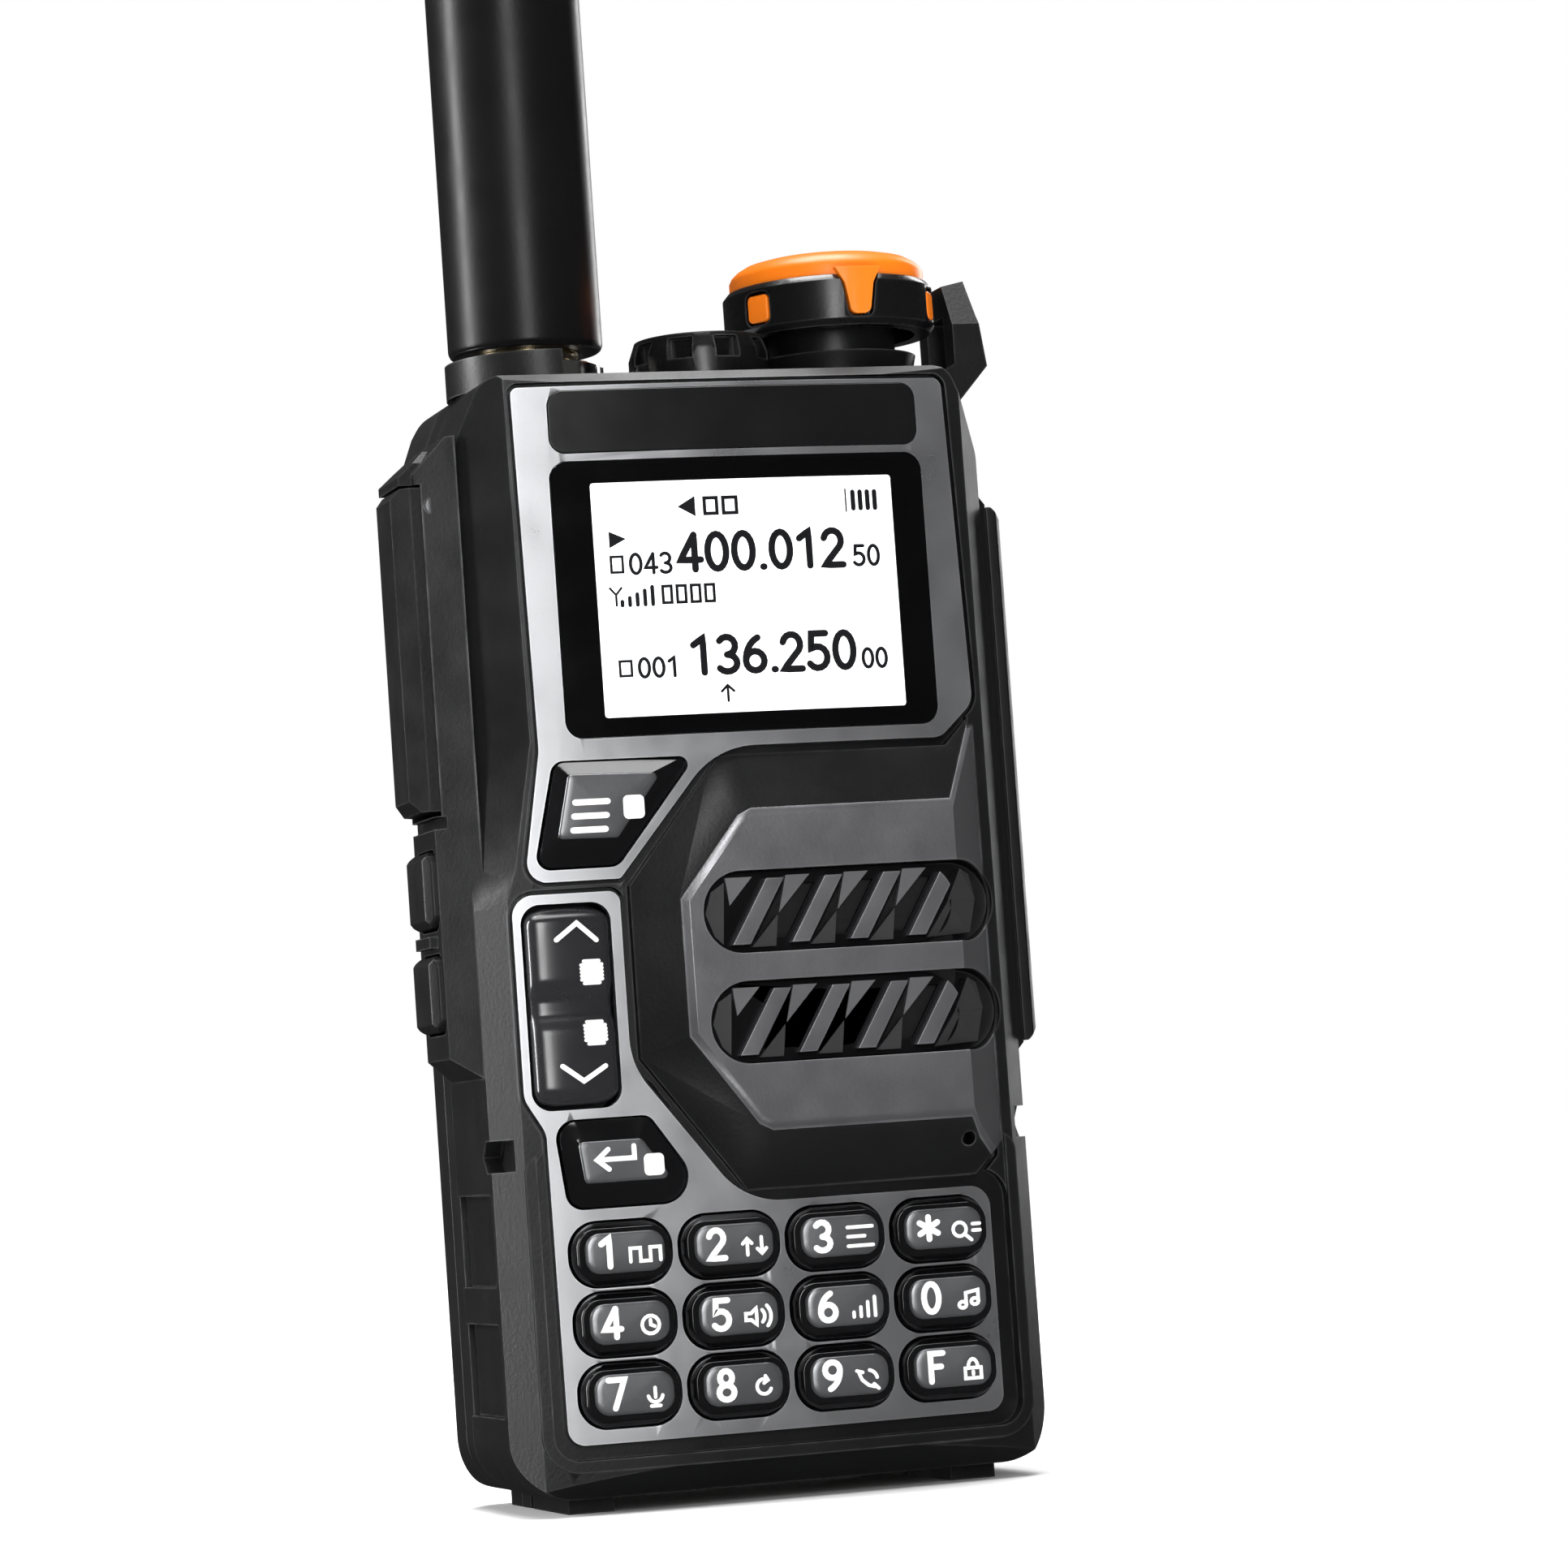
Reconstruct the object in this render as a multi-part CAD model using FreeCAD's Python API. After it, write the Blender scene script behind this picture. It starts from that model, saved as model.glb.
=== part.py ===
"""Handheld aviation radio, as an assembly of separate parts.

Modelling frame, in millimetres: X to the right, Y into the depth from the middle of the front face,
Z up from the body's bottom edge.  At export everything moves by row_shift(), so that the row frame has
its origin at the middle of the bounding box, on the floor under the feet.
"""
import FreeCAD
import Part

import math
import os

V = FreeCAD.Vector

# ---- driving dimensions -------------------------------------------------------------------------
BODY_HALF = 28.6          # half the body's width, without the side pods
BODY_H = 113.0            # top of the body, without knob and antenna
BODY_LOW = -0.8           # underside of the body
SHELL_D = 20.0            # depth of the front shell
TOTAL_D = 33.0            # front face to the back of the battery
BOW_R = 240.0             # the front face is gently bowed about a vertical axis
WALL = 2.2
CAVITY_FRONT = 4.3        # depth where the inside of the front shell starts
CORNER_R = 6.0            # lower corners, seen from the front
SHOULDER_H = 104.0        # where the sides start to lean in
TOP_HALF = 24.8           # half width at the top
EDGE_X = 26.0             # where the front face turns into the side chamfer
EDGE_Y = 4.8              # depth where that chamfer meets the side
FOOT_H = 2.4              # the feet reach this far below the zero level

BEZEL_T = 1.2             # thickness of the metallic trim
GROOVE = 0.45             # dark gap round the trim
KEY_GAP = 0.22            # gap between a key and its opening
KEY_RISE = 1.3            # how far a key stands out of the trim
KEY_BACK = 4.2            # depth of a key's back face
KEY_TRAVEL = 0.6

KEY_PITCH_X = 11.25
KEY_PITCH_Z = 7.07
KEY_ROW_Z = 9.4           # centre of the lowest row
KEY_HOLE = (10.75, 6.8, 3.0)      # width, height, corner radius of a key's opening
KEY_TOP = (9.6, 5.1, 1.9)         # the same for its flat top
KEY_NAMES = (("7", "8", "9", "f"), ("4", "5", "6", "0"), ("1", "2", "3", "star"))

DOME_RISE = 2.4           # how far the speaker dome stands out
DOME_CREASE_X = 20.8      # where the dome's flat top turns down to the right side
DOME_FLANK_Y = 5.0        # depth where that flank meets the side
SLOT_X0, SLOT_X1 = -6.6, 25.6
SLOT_H = 8.35
SLOT_Z = (45.8, 57.0)
BAR_PITCH = 6.27
BAR_W = 1.9
BAR_LEAN = 0.6            # sideways run of a grille bar per unit of height
BAR_COUNT = 4
BAR_START_X = -4.2        # left edge of the first bar, at the foot of the slot
BAR_MARGIN = 0.85         # a bar ends this far short of the slot's edge
PLATE_T = 0.45            # the metallic plate on top of the dome
SPEAKER_X, SPEAKER_Z = 6.0, 51.4
MIC_X, MIC_Z = 20.4, 32.6

LCD_MIN, LCD_MAX = (-15.4, 77.0), (18.2, 102.0)

TOP_Y = 13.7              # depth of the antenna and knob axes
ANTENNA_X, ANTENNA_R, ANTENNA_BASE = -17.0, 8.05, 116.8
ANTENNA_LEN = 160.0
TORCH_X, TORCH_Y, TORCH_R, TORCH_TOP = 0.8, 10.5, 7.4, 117.5
KNOB_X, SKIRT_R, CAP_R = 16.4, 11.1, 10.3
SKIRT_Z0, SKIRT_Z1, CAP_TOP = 117.75, 123.1, 126.4
SKIRT_BORE, SHAFT_BORE = 9.0, 3.02        # the hollow under the skirt and the hole for the shaft
SHAFT_R = 3.0
RUN = 0.05                # radial clearance of a turning fit

PTT_Y0, PTT_Y1, PTT_Z0, PTT_Z1, PTT_OUT = 7.6, 17.2, 69.4, 102.6, 33.6
PTT_PIN_Z, PTT_PIN_X, PTT_PIN_R = 100.6, -29.6, 0.8
POD_X = 31.4              # outer face of the left pod
POD_Z0, POD_Z1 = 41.6, 107.4
SIDE_KEY_Z = (50.9, 61.5)
SIDE_KEY_SIZE = (8.4, 7.8, 1.4)          # width, height, corner radius
SIDE_KEY_Y, SIDE_KEY_OUT = 12.7, 32.7

COVER_Z0, COVER_Z1 = 42.4, 98.6
COVER_Y0, COVER_Y1 = 6.6, 18.0
COVER_X0, COVER_X1 = 29.9, 31.7
COVER_PIN = (30.5, 19.6)
COVER_PIN_R, KNUCKLE_R = 0.6, 1.25
KNUCKLE_Z0, KNUCKLE_Z1 = 50.0, 91.0
JACK_Y = 14.2
JACK_Z = (88.0, 76.5)
JACK_BORE_R = (1.8, 1.3)
JACK_FACE_X, JACK_LENGTH = 28.9, 14.0
USB_Z = 58.0

BATTERY_TOP = 86.0
BATTERY_Y0 = 20.35
LID_BACK = 24.2           # depth where the battery's lid meets its case
CONTACT_X = (-7.5, -2.5, 2.5, 7.5)
RAIL_X, RAIL_W, RAIL_T = 20.0, 2.4, 1.2
HEAD_BACK = 31.0
SCREWS = [(-23.7, 5.2, 6.6), (23.7, 5.2, 6.6), (-20.9, 82.25, 3.8), (22.4, 82.25, 3.8)]   # x, z, start of boss
BOSS_R, SCREW_R, SCREW_HEAD_R = 2.2, 1.0, 1.9

CLIP_PIN_Y, CLIP_PIN_Z, CLIP_PIN_R = 35.0, 104.0, 1.0
CLIP_HALF, CLIP_FOOT_Z = 9.0, 46.0

# ---- outlines: corners as (x, z, corner radius) -------------------------------------------------
UPPER_BEZEL = [(-22.3, 111.6, 0.8), (-21.8, 74.5, 5.0), (-24.1, 61.2, 2.0), (-14.3, 61.2, 0.5),
               (-3.4, 74.1, 9.0), (21.2, 74.1, 2.0), (25.0, 77.6, 2.5), (24.0, 111.6, 1.0)]
LOWER_BEZEL = [(-25.6, 60.0, 2.2), (-14.5, 60.0, 1.2), (-14.5, 42.3, 8.0), (-3.6, 27.7, 8.0),
               (22.9, 27.7, 2.2), (22.9, 4.6, 1.8), (-23.4, 4.6, 1.8), (-23.6, 36.0, 2.5), (-25.6, 39.5, 2.5)]
KEYPAD_CHANNEL = [(-24.9, 35.0, 2.0), (-24.9, 3.1, 2.6), (24.9, 3.1, 2.6), (24.9, 29.4, 3.0), (-6.0, 29.4, 1.0)]
M_HOLE = [(-20.5, 73.4, 1.4), (-5.5, 73.3, 0.9), (-14.4, 62.4, 1.8), (-23.1, 62.4, 1.4)]
M_TOP = [(-19.4, 71.9, 0.5), (-9.6, 71.7, 0.5), (-14.6, 65.3, 0.5), (-20.9, 65.4, 0.5)]
EXIT_HOLE = [(-22.9, 37.2, 2.0), (-13.0, 37.2, 1.4), (-6.9, 28.1, 2.8), (-21.9, 28.1, 1.8)]
EXIT_TOP = [(-20.9, 34.9, 0.5), (-14.3, 34.9, 0.5), (-11.3, 30.7, 0.5), (-20.4, 30.7, 0.5)]
KEYPAD_WELL = [(-22.4, 27.1, 2.8), (-22.4, 5.8, 2.8), (22.35, 5.8, 2.8), (22.35, 27.1, 2.8)]
ROCKER_HOLE = [(-24.8, 59.0, 2.0), (-15.6, 59.0, 2.0), (-15.6, 38.2, 2.0), (-24.8, 38.2, 2.0)]
ROCKER_PIVOT = (3.4, 48.6)        # depth and height of the rocker's axis
WINDOW = [(-18.8, 103.8, 1.8), (-18.8, 75.6, 1.8), (21.0, 75.6, 1.8), (21.0, 103.8, 1.8)]
NAME_PLATE = [(-18.6, 111.1, 1.6), (-18.6, 104.7, 1.6), (20.9, 104.7, 1.6), (20.9, 111.1, 1.6)]
DOME_FOOT = [(-13.4, 60.4, 0), (-13.4, 42.9, 0), (-3.1, 28.9, 0), (21.4, 28.9, 0), (28.6, 36.2, 0),
             (28.6, 76.5, 0), (24.9, 76.5, 0), (21.4, 73.2, 0), (-3.1, 73.2, 0)]
# each sloping side of the dome: a point on its foot, and the direction up the slope, seen from the front
DOME_SLOPES = [((-13.4, 50.0), (1.0, 0.0), 5.35), ((-3.1, 28.9), (0.81, 0.59), 5.5),
               ((5.0, 28.9), (0.0, 1.0), 6.9), ((5.0, 73.2), (0.0, -1.0), 6.65),
               ((-3.1, 73.2), (0.78, -0.63), 5.5), ((21.4, 28.9), (-0.71, 0.70), 4.6),
               ((-2.77, 72.51), (0.43, -0.90), 6.26), ((-2.74, 29.61), (0.454, 0.891), 6.48)]
EAR = [(24.9, 112.3), (28.4, 114.2), (28.4, 122.9), (31.0, 123.5), (31.3, 119.4), (32.0, 113.9), (27.2, 108.6),
       (25.4, 108.0)]
EAR_Y0, EAR_Y1 = 8.6, 19.4
EAR_SLOT = (11.4, 16.8, 113.9, 119.6)     # the strap slot's Y and Z limits


# ---- shape helpers ------------------------------------------------------------------------------
def box(x0, x1, y0, y1, z0, z1):
    return Part.makeBox(x1 - x0, y1 - y0, z1 - z0, V(x0, y0, z0))


def rod(radius, start, end):
    """A round bar between two points."""
    axis = V(*end) - V(*start)
    return Part.makeCylinder(radius, axis.Length, V(*start), axis)


def upright(radius, x, y, z0, z1):
    return Part.makeCylinder(radius, z1 - z0, V(x, y, z0))


def upright_cone(r0, r1, x, y, z0, z1):
    return Part.makeCone(r0, r1, z1 - z0, V(x, y, z0))


def joined(shapes):
    """One solid out of shapes that touch or overlap."""
    first = shapes[0]
    return first.fuse(shapes[1:]).removeSplitter() if len(shapes) > 1 else first


def rounded_wire(corners):
    """A closed wire in the XZ plane, with a tangent arc at each corner that has a radius."""
    points = [V(c[0], 0, c[1]) for c in corners]
    edges, ends = [], []
    for i, here in enumerate(points):
        radius = corners[i][2] if len(corners[i]) > 2 else 0
        back = (points[i - 1] - here).normalize()
        ahead = (points[(i + 1) % len(points)] - here).normalize()
        if radius <= 0:
            ends.append((here, here, None))
            continue
        half = back.getAngle(ahead) / 2
        run = radius / math.tan(half)
        middle = here + (back + ahead).normalize() * (radius / math.sin(half) - radius)
        ends.append((here + back * run, here + ahead * run, middle))
    for i, (start, end, middle) in enumerate(ends):
        if middle is not None:
            edges.append(Part.Arc(start, middle, end).toShape())
        following = ends[(i + 1) % len(ends)][0]
        if end.distanceToPoint(following) > 1e-6:
            edges.append(Part.LineSegment(end, following).toShape())
    return Part.Wire(edges)


def grown(corners, by):
    """The same corners with every side moved outwards by a distance, or inwards if it is negative."""
    points = [V(c[0], 0, c[1]) for c in corners]
    count = len(points)
    area = sum(points[i].x * points[(i + 1) % count].z - points[(i + 1) % count].x * points[i].z
               for i in range(count))
    turn = 1 if area > 0 else -1
    result = []
    for i in range(count):
        a = (points[i] - points[i - 1]).normalize()
        b = (points[(i + 1) % count] - points[i]).normalize()
        out_a, out_b = V(a.z, 0, -a.x) * turn, V(b.z, 0, -b.x) * turn
        bisector = out_a + out_b
        moved = points[i] + bisector * (2 * by / bisector.dot(bisector))
        convex = (a.x * b.z - a.z * b.x) * turn > 0
        radius = corners[i][2] if len(corners[i]) > 2 else 0
        if radius > 0:
            radius = max(radius + (by if convex else -by), 0.15)
        result.append((moved.x, moved.z, radius))
    return result


def prism(corners, y0, y1):
    """A front-view outline pushed through the depth from y0 to y1."""
    face = Part.Face(rounded_wire(corners))
    face.translate(V(0, y0, 0))
    return face.extrude(V(0, y1 - y0, 0))


def bow_depth(x):
    """How far the bowed front face lies behind its middle."""
    return BOW_R - math.sqrt(BOW_R * BOW_R - x * x)


def bow_cylinder(depth):
    """Everything behind the surface that lies at this depth below the bowed front face."""
    return Part.makeCylinder(BOW_R - depth, 400, V(0, BOW_R, -50))


def bowed(corners, y0, y1):
    """As prism, but its front and back follow the bow of the front face."""
    most = bow_depth(BODY_HALF) + 1
    return prism(corners, y0 - 1, y1 + most).common(bow_cylinder(y0)).cut(bow_cylinder(y1))


def plan_prism(points, z0, z1):
    """A top-view outline, as (x, y) points, pushed up from z0 to z1."""
    ring = [V(x, y, z0) for x, y in points]
    return Part.Face(Part.makePolygon(ring + ring[:1])).extrude(V(0, 0, z1 - z0))


def side_prism(points, x0, x1):
    """A side-view outline, as (y, z) points, pushed sideways from x0 to x1."""
    ring = [V(x0, y, z) for y, z in points]
    return Part.Face(Part.makePolygon(ring + ring[:1])).extrude(V(x1 - x0, 0, 0))


def trimmed(shape, point, normal, reach=160.0):
    """The shape without what lies beyond a plane, on the side its normal points to."""
    block = Part.makeBox(2 * reach, 2 * reach, reach, V(-reach, -reach, 0))
    block.Placement = FreeCAD.Placement(V(*point), FreeCAD.Rotation(V(0, 0, 1), V(*normal)))
    return shape.cut(block)


def rectangle(x0, x1, z0, z1, radius):
    return [(x0, z1, radius), (x0, z0, radius), (x1, z0, radius), (x1, z1, radius)]


def centred(x, z, width, height, radius):
    return rectangle(x - width / 2, x + width / 2, z - height / 2, z + height / 2, radius)


def revolved(points, x, y):
    """A solid turned about the upright axis through x, y, from (radius, z) points."""
    ring = [V(x + r, y, z) for r, z in points]
    face = Part.Face(Part.makePolygon(ring + ring[:1]))
    return face.revolve(V(x, y, 0), V(0, 0, 1), 360)


def softened(shape, radius, wanted):
    """The shape with a fillet on every edge for which wanted(edge) is true."""
    edges = [e for e in shape.Edges if wanted(e)]
    return shape.makeFillet(radius, edges)


def tapered(low, high, y_low, y_high):
    """A solid that narrows from one front-view outline to another with as many corners."""
    wires = []
    for corners, y in ((low, y_low), (high, y_high)):
        wire = rounded_wire(corners)
        wire.translate(V(0, y, 0))
        wires.append(wire)
    return Part.makeLoft(wires, True, True)


# ---- the body -----------------------------------------------------------------------------------
def body_outline(inset):
    """The front view of the body, moved in by a wall."""
    half, top = BODY_HALF - inset, TOP_HALF - inset
    corner = CORNER_R - inset
    low = BODY_LOW + inset
    return [(-half, low, corner), (half, low, corner), (half, SHOULDER_H, 4.0),
            (top, BODY_H - inset, 2.5), (-top, BODY_H - inset, 2.5), (-half, SHOULDER_H, 4.0)]


def front_block():
    """The outside of the front shell, before pods, dome and openings."""
    plan = [(-BODY_HALF, SHELL_D), (-BODY_HALF, EDGE_Y), (-EDGE_X, bow_depth(EDGE_X)), (-EDGE_X, -1),
            (EDGE_X, -1), (EDGE_X, bow_depth(EDGE_X)), (BODY_HALF, EDGE_Y), (BODY_HALF, SHELL_D)]
    block = plan_prism(plan, -1, BODY_H + 1).common(prism(body_outline(0), -2, SHELL_D))
    block = block.common(bow_cylinder(0))
    block = trimmed(block, (0, 2.2, BODY_LOW), (0, -0.82, -0.57))
    block = trimmed(block, (0, 1.6, BODY_H), (0, -0.70, 0.71))
    return block


def feet(y0, y1, root):
    """Two rails for the radio to stand on, sunk into the bottom by a root."""
    return [box(sign * 20.4 - 2.4, sign * 20.4 + 2.4, y0, y1, -FOOT_H, root) for sign in (-1, 1)]


def left_bevel():
    """What the wide bevel beside the display cuts off the left front edge."""
    def section(start, z):
        ring = [V(-start, -2, z), V(-start, bow_depth(start) + 0.1, z), V(-29.6, 6.4, z), V(-36, 6.4, z), V(-36, -2, z)]
        return Part.makePolygon(ring + ring[:1])
    low, high, full, top = 59.0, 63.0, 75.5, BODY_H + 3
    parts = [Part.makeLoft([section(a, za), section(b, zb)], True, True)
             for a, za, b, zb in ((26.2, low, 24.9, high), (24.9, high, 22.6, full), (22.6, full, 23.0, top))]
    return joined(parts)


def left_pod():
    """The raised block on the left side that carries the talk bar and the side keys."""
    plan = [(-27.6, 4.2), (-POD_X, 8.0), (-POD_X, 17.6), (-27.6, 19.6)]
    pod = plan_prism(plan, POD_Z0, POD_Z1)
    pod = trimmed(pod, (-POD_X, 0, POD_Z0 + 2.6), (-0.62, 0, -0.78))
    pod = trimmed(pod, (-POD_X, 0, POD_Z1 - 3.4), (-0.75, 0, 0.66))
    waist = box(-POD_X - 1, -30.3, 3, 20, 67.6, 68.8)
    hood = side_prism([(8.2, 102.9), (8.2, 105.2), (10.0, 106.6), (16.0, 106.6), (17.2, 105.2), (17.2, 102.9)],
                      -32.8, -28)
    hood = trimmed(hood, (-32.8, 0, 103.8), (-0.66, 0, 0.75))
    ridge = box(-32.3, -30.6, 9.6, 15.8, 55.6, 56.8)
    return joined([pod.cut(waist), hood, ridge])


def right_pod():
    """The low raised frame on the right side that the socket cover closes."""
    plan = [(27.6, 4.4), (COVER_X0 - 0.2, 6.2), (COVER_X0 - 0.2, 18.2), (27.6, 18.8)]
    pod = plan_prism(plan, COVER_Z0 - 1.6, COVER_Z1 + 1.6)
    pod = trimmed(pod, (COVER_X0 - 0.2, 0, COVER_Z0 - 0.2), (0.62, 0, -0.78))
    pod = trimmed(pod, (COVER_X0 - 0.2, 0, COVER_Z1 + 0.2), (0.62, 0, 0.78))
    lugs = []
    for z0, z1 in ((KNUCKLE_Z0 - 3.2, KNUCKLE_Z0 - 0.2), (KNUCKLE_Z1 + 0.2, KNUCKLE_Z1 + 3.2)):
        lug = upright(KNUCKLE_R, COVER_PIN[0], COVER_PIN[1], z0, z1)
        root = box(28.0, COVER_PIN[0] + 0.3, 18.3, SHELL_D, z0, z1)
        lugs.append(lug.fuse(root).common(box(20, 40, 0, SHELL_D, 0, BODY_H)))
    pod = joined([pod] + lugs)
    return pod.cut(upright(COVER_PIN_R + RUN, COVER_PIN[0], COVER_PIN[1], KNUCKLE_Z0 - 2.4, KNUCKLE_Z1 + 2.4))


def dome_block(inset):
    """The raised speaker dome, with its top and right flank lowered by an inset."""
    dome = prism(DOME_FOOT, -DOME_RISE + inset, CAVITY_FRONT + 1)
    for (x, z), (dx, dz), run in DOME_SLOPES:
        rise = DOME_RISE + 0.5
        size = math.hypot(rise, run)
        dome = trimmed(dome, (x, 0.5, z), (-dx * rise / size, -run / size, -dz * rise / size))
    flank = math.hypot(DOME_RISE + DOME_FLANK_Y, BODY_HALF - DOME_CREASE_X)
    normal = ((DOME_RISE + DOME_FLANK_Y) / flank, -(BODY_HALF - DOME_CREASE_X) / flank, 0)
    dome = trimmed(dome, (DOME_CREASE_X - inset * normal[0], -DOME_RISE - inset * normal[1], 0), normal)
    return dome.common(box(-40, BODY_HALF - 0.01, -10, 20, 20, 90))


def dome_skin():
    """The layer of the dome's top and flank that the metallic plate takes up."""
    return dome_block(0).cut(dome_block(PLATE_T)).common(box(-40, 27.4, -10, 20, 20, 90))


def sound_hole(y0, y1):
    """The small hole in front of the microphone."""
    return rod(0.7, (MIC_X, y0, MIC_Z), (MIC_X, y1, MIC_Z))


def dome_plate():
    """The metallic plate that covers the dome's top and flank, with its two slots."""
    plate = dome_skin()
    for z in SLOT_Z:
        plate = plate.cut(prism(slot_outline(z, 0), -6, 6))
    return plate.cut(sound_hole(-6, 6))


def slot_outline(z, inset):
    return rectangle(SLOT_X0 + inset, SLOT_X1 - inset, z - SLOT_H / 2 + inset, z + SLOT_H / 2 - inset,
                     SLOT_H / 2 - inset - 0.05)


def key_centres():
    """Names and centres of the number keys, lowest row first."""
    return [(name, (column - 1.5) * KEY_PITCH_X, KEY_ROW_Z + row * KEY_PITCH_Z)
            for row, names in enumerate(KEY_NAMES) for column, name in enumerate(names)]


def front_openings():
    """Outlines of every key opening in the front."""
    return [KEYPAD_WELL, M_HOLE, EXIT_HOLE, ROCKER_HOLE]


def ear():
    """The strap ear beside the knob, with a slot that runs sideways through it."""
    ring = [V(x, EAR_Y0, z) for x, z in EAR]
    plate = Part.Face(Part.makePolygon(ring + ring[:1])).extrude(V(0, EAR_Y1 - EAR_Y0, 0))
    plate = trimmed(plate, (31.0, EAR_Y0 + 3.0, 123.5), (0, -0.86, 0.51))
    return plate.cut(box(24, 36, *EAR_SLOT))


def front_shell():
    shell = joined([front_block().cut(left_bevel()), left_pod(), right_pod()] + feet(5.4, SHELL_D - 0.3, 1.0))
    shell = joined([shell, dome_block(0)])
    shell = shell.cut(prism(body_outline(WALL), CAVITY_FRONT, SHELL_D + 1))
    for x, z, start in SCREWS:
        shell = joined([shell, boss(x, z, start, 0)])
        shell = shell.cut(rod(SCREW_R, (x, 10.0, z), (x, 20, z)))
    shell = shell.cut(bowed_pockets())
    shell = joined([shell, rim(), ear(), knob_collar(), antenna_boss()])
    for outline in front_openings():
        shell = shell.cut(prism(grown(outline, 0.05), -6, CAVITY_FRONT + 0.5))
    shell = shell.cut(prism(lcd_outline(0.2), -3, 6))
    shell = shell.cut(rod(14.7, (SPEAKER_X, -0.6, SPEAKER_Z), (SPEAKER_X, CAVITY_FRONT + 1, SPEAKER_Z)))
    for z in SLOT_Z:
        shell = shell.cut(prism(slot_outline(z, 0), -6, 3.2))
    shell = shell.cut(dome_skin()).cut(sound_hole(-6, 6))
    shell = shell.cut(rocker_pin())
    return side_openings(top_openings(shell))


def bowed_pockets():
    """The recess in the front face that the trim and the dark grooves round it lie in."""
    depth = BEZEL_T
    pockets = [bowed(grown(UPPER_BEZEL, GROOVE), -1, depth), bowed(grown(LOWER_BEZEL, GROOVE), -1, depth),
               bowed(KEYPAD_CHANNEL, -1, depth)]
    dome_moat = bowed([(c[0], c[1], 0) for c in grown(DOME_FOOT, 0.75)], -1, depth)
    dome_moat = dome_moat.common(box(-40, 24.2, -10, 20, 20, 90))
    pockets.append(dome_moat)
    return joined(pockets).cut(dome_block(0))


def rim():
    """The narrow ridge that frames the keypad."""
    outer = [(-26.1, 34.0, 2.0), (-26.1, 1.9, 3.8), (26.1, 1.9, 3.8), (26.1, 33.0, 2.0)]
    inner = [(-24.9, 40.0, 0), (-24.9, 3.1, 2.6), (24.9, 3.1, 2.6), (24.9, 40.0, 0)]
    ridge = bowed(outer, -0.45, BEZEL_T + 0.4).cut(prism(inner, -6, 8))
    return ridge


def knob_collar():
    """A low cone under the knob, with a neck that rises into the hollow of its skirt."""
    cone = upright_cone(8.2, 8.9, KNOB_X, TOP_Y, BODY_H - 0.5, SKIRT_Z0 - 2.3)
    return joined([cone, upright(6.8, KNOB_X, TOP_Y, BODY_H, SKIRT_Z0 + 1.4)])


def antenna_boss():
    """The shoulder that rises round the back and left of the antenna's foot."""
    boss = upright(9.4, ANTENNA_X + 0.9, TOP_Y, BODY_H - 0.5, ANTENNA_BASE - 0.7)
    boss = boss.cut(upright(8.3, ANTENNA_X, TOP_Y, BODY_H + 0.4, 130))
    window = box(ANTENNA_X + 1.4, 0, -5, TOP_Y + 4, BODY_H + 0.4, 130)
    return boss.cut(window).common(box(-TOP_HALF - 1.4, 0, 0.5, SHELL_D, 100, 130))


def top_openings(shell):
    shell = shell.cut(upright(3.3, ANTENNA_X, TOP_Y, 105, 130))
    shell = shell.cut(upright(5.8, TORCH_X, TORCH_Y, 105, 130))
    return shell.cut(upright(4.1, KNOB_X, TOP_Y, 105, 130))


def side_openings(shell):
    """Openings in the two sides, the grip hollows and the holes for pins."""
    shell = shell.cut(box(-40, -24, PTT_Y0 - 0.25, PTT_Y1 + 0.25, PTT_Z0 - 0.5, PTT_Z1 + 0.3))
    shell = shell.cut(rod(PTT_PIN_R + RUN, (PTT_PIN_X, PTT_Y0 - 0.9, PTT_PIN_Z), (PTT_PIN_X, PTT_Y1 + 0.9, PTT_PIN_Z)))
    for z in SIDE_KEY_Z:
        shell = shell.cut(side_key_prism(z, 0.25, -40, -24))
    for side in (-1, 1):
        for z0, z1 in ((7.7, 17.1), (20.9, 30.2)):
            hollow = side_prism([(EDGE_Y + 0.6, z0 + 0.8), (EDGE_Y + 1.4, z0), (SHELL_D + 1, z0), (SHELL_D + 1, z1),
                                 (EDGE_Y + 1.4, z1), (EDGE_Y + 0.6, z1 - 0.8)], 27.7, 30)
            if side < 0:
                hollow = hollow.mirror(V(0, 0, 0), V(1, 0, 0))
            shell = shell.cut(hollow)
        notch = side_prism([(-1, 32.4), (6.6, 32.4), (8.0, 34.0), (6.6, 35.6), (-1, 35.6)], 26.7, 30)
        if side < 0:
            notch = notch.mirror(V(0, 0, 0), V(1, 0, 0))
        shell = shell.cut(notch)
    for z, bore in zip(JACK_Z, JACK_BORE_R):
        shell = shell.cut(rod(bore + 1.4, (20, JACK_Y, z), (40, JACK_Y, z)))
    return shell.cut(usb_prism(0.3, 20, 40))


def side_key_prism(z, grow, x0, x1):
    width, height, radius = SIDE_KEY_SIZE
    flat = Part.Face(rounded_wire(centred(SIDE_KEY_Y, z, width + 2 * grow, height + 2 * grow, radius + grow)))
    block = flat.extrude(V(0, x1 - x0, 0))
    # the outline is drawn as a front view, so it is turned to face sideways
    block.Placement = FreeCAD.Placement(V(x1, 0, 0), FreeCAD.Rotation(V(0, 0, 1), 90))
    return block


def usb_prism(grow, x0, x1):
    flat = Part.Face(rounded_wire(centred(JACK_Y, USB_Z, 3.3 + 2 * grow, 9.0 + 2 * grow, 1.6 + grow)))
    block = flat.extrude(V(0, x1 - x0, 0))
    block.Placement = FreeCAD.Placement(V(x1, 0, 0), FreeCAD.Rotation(V(0, 0, 1), 90))
    return block


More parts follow.
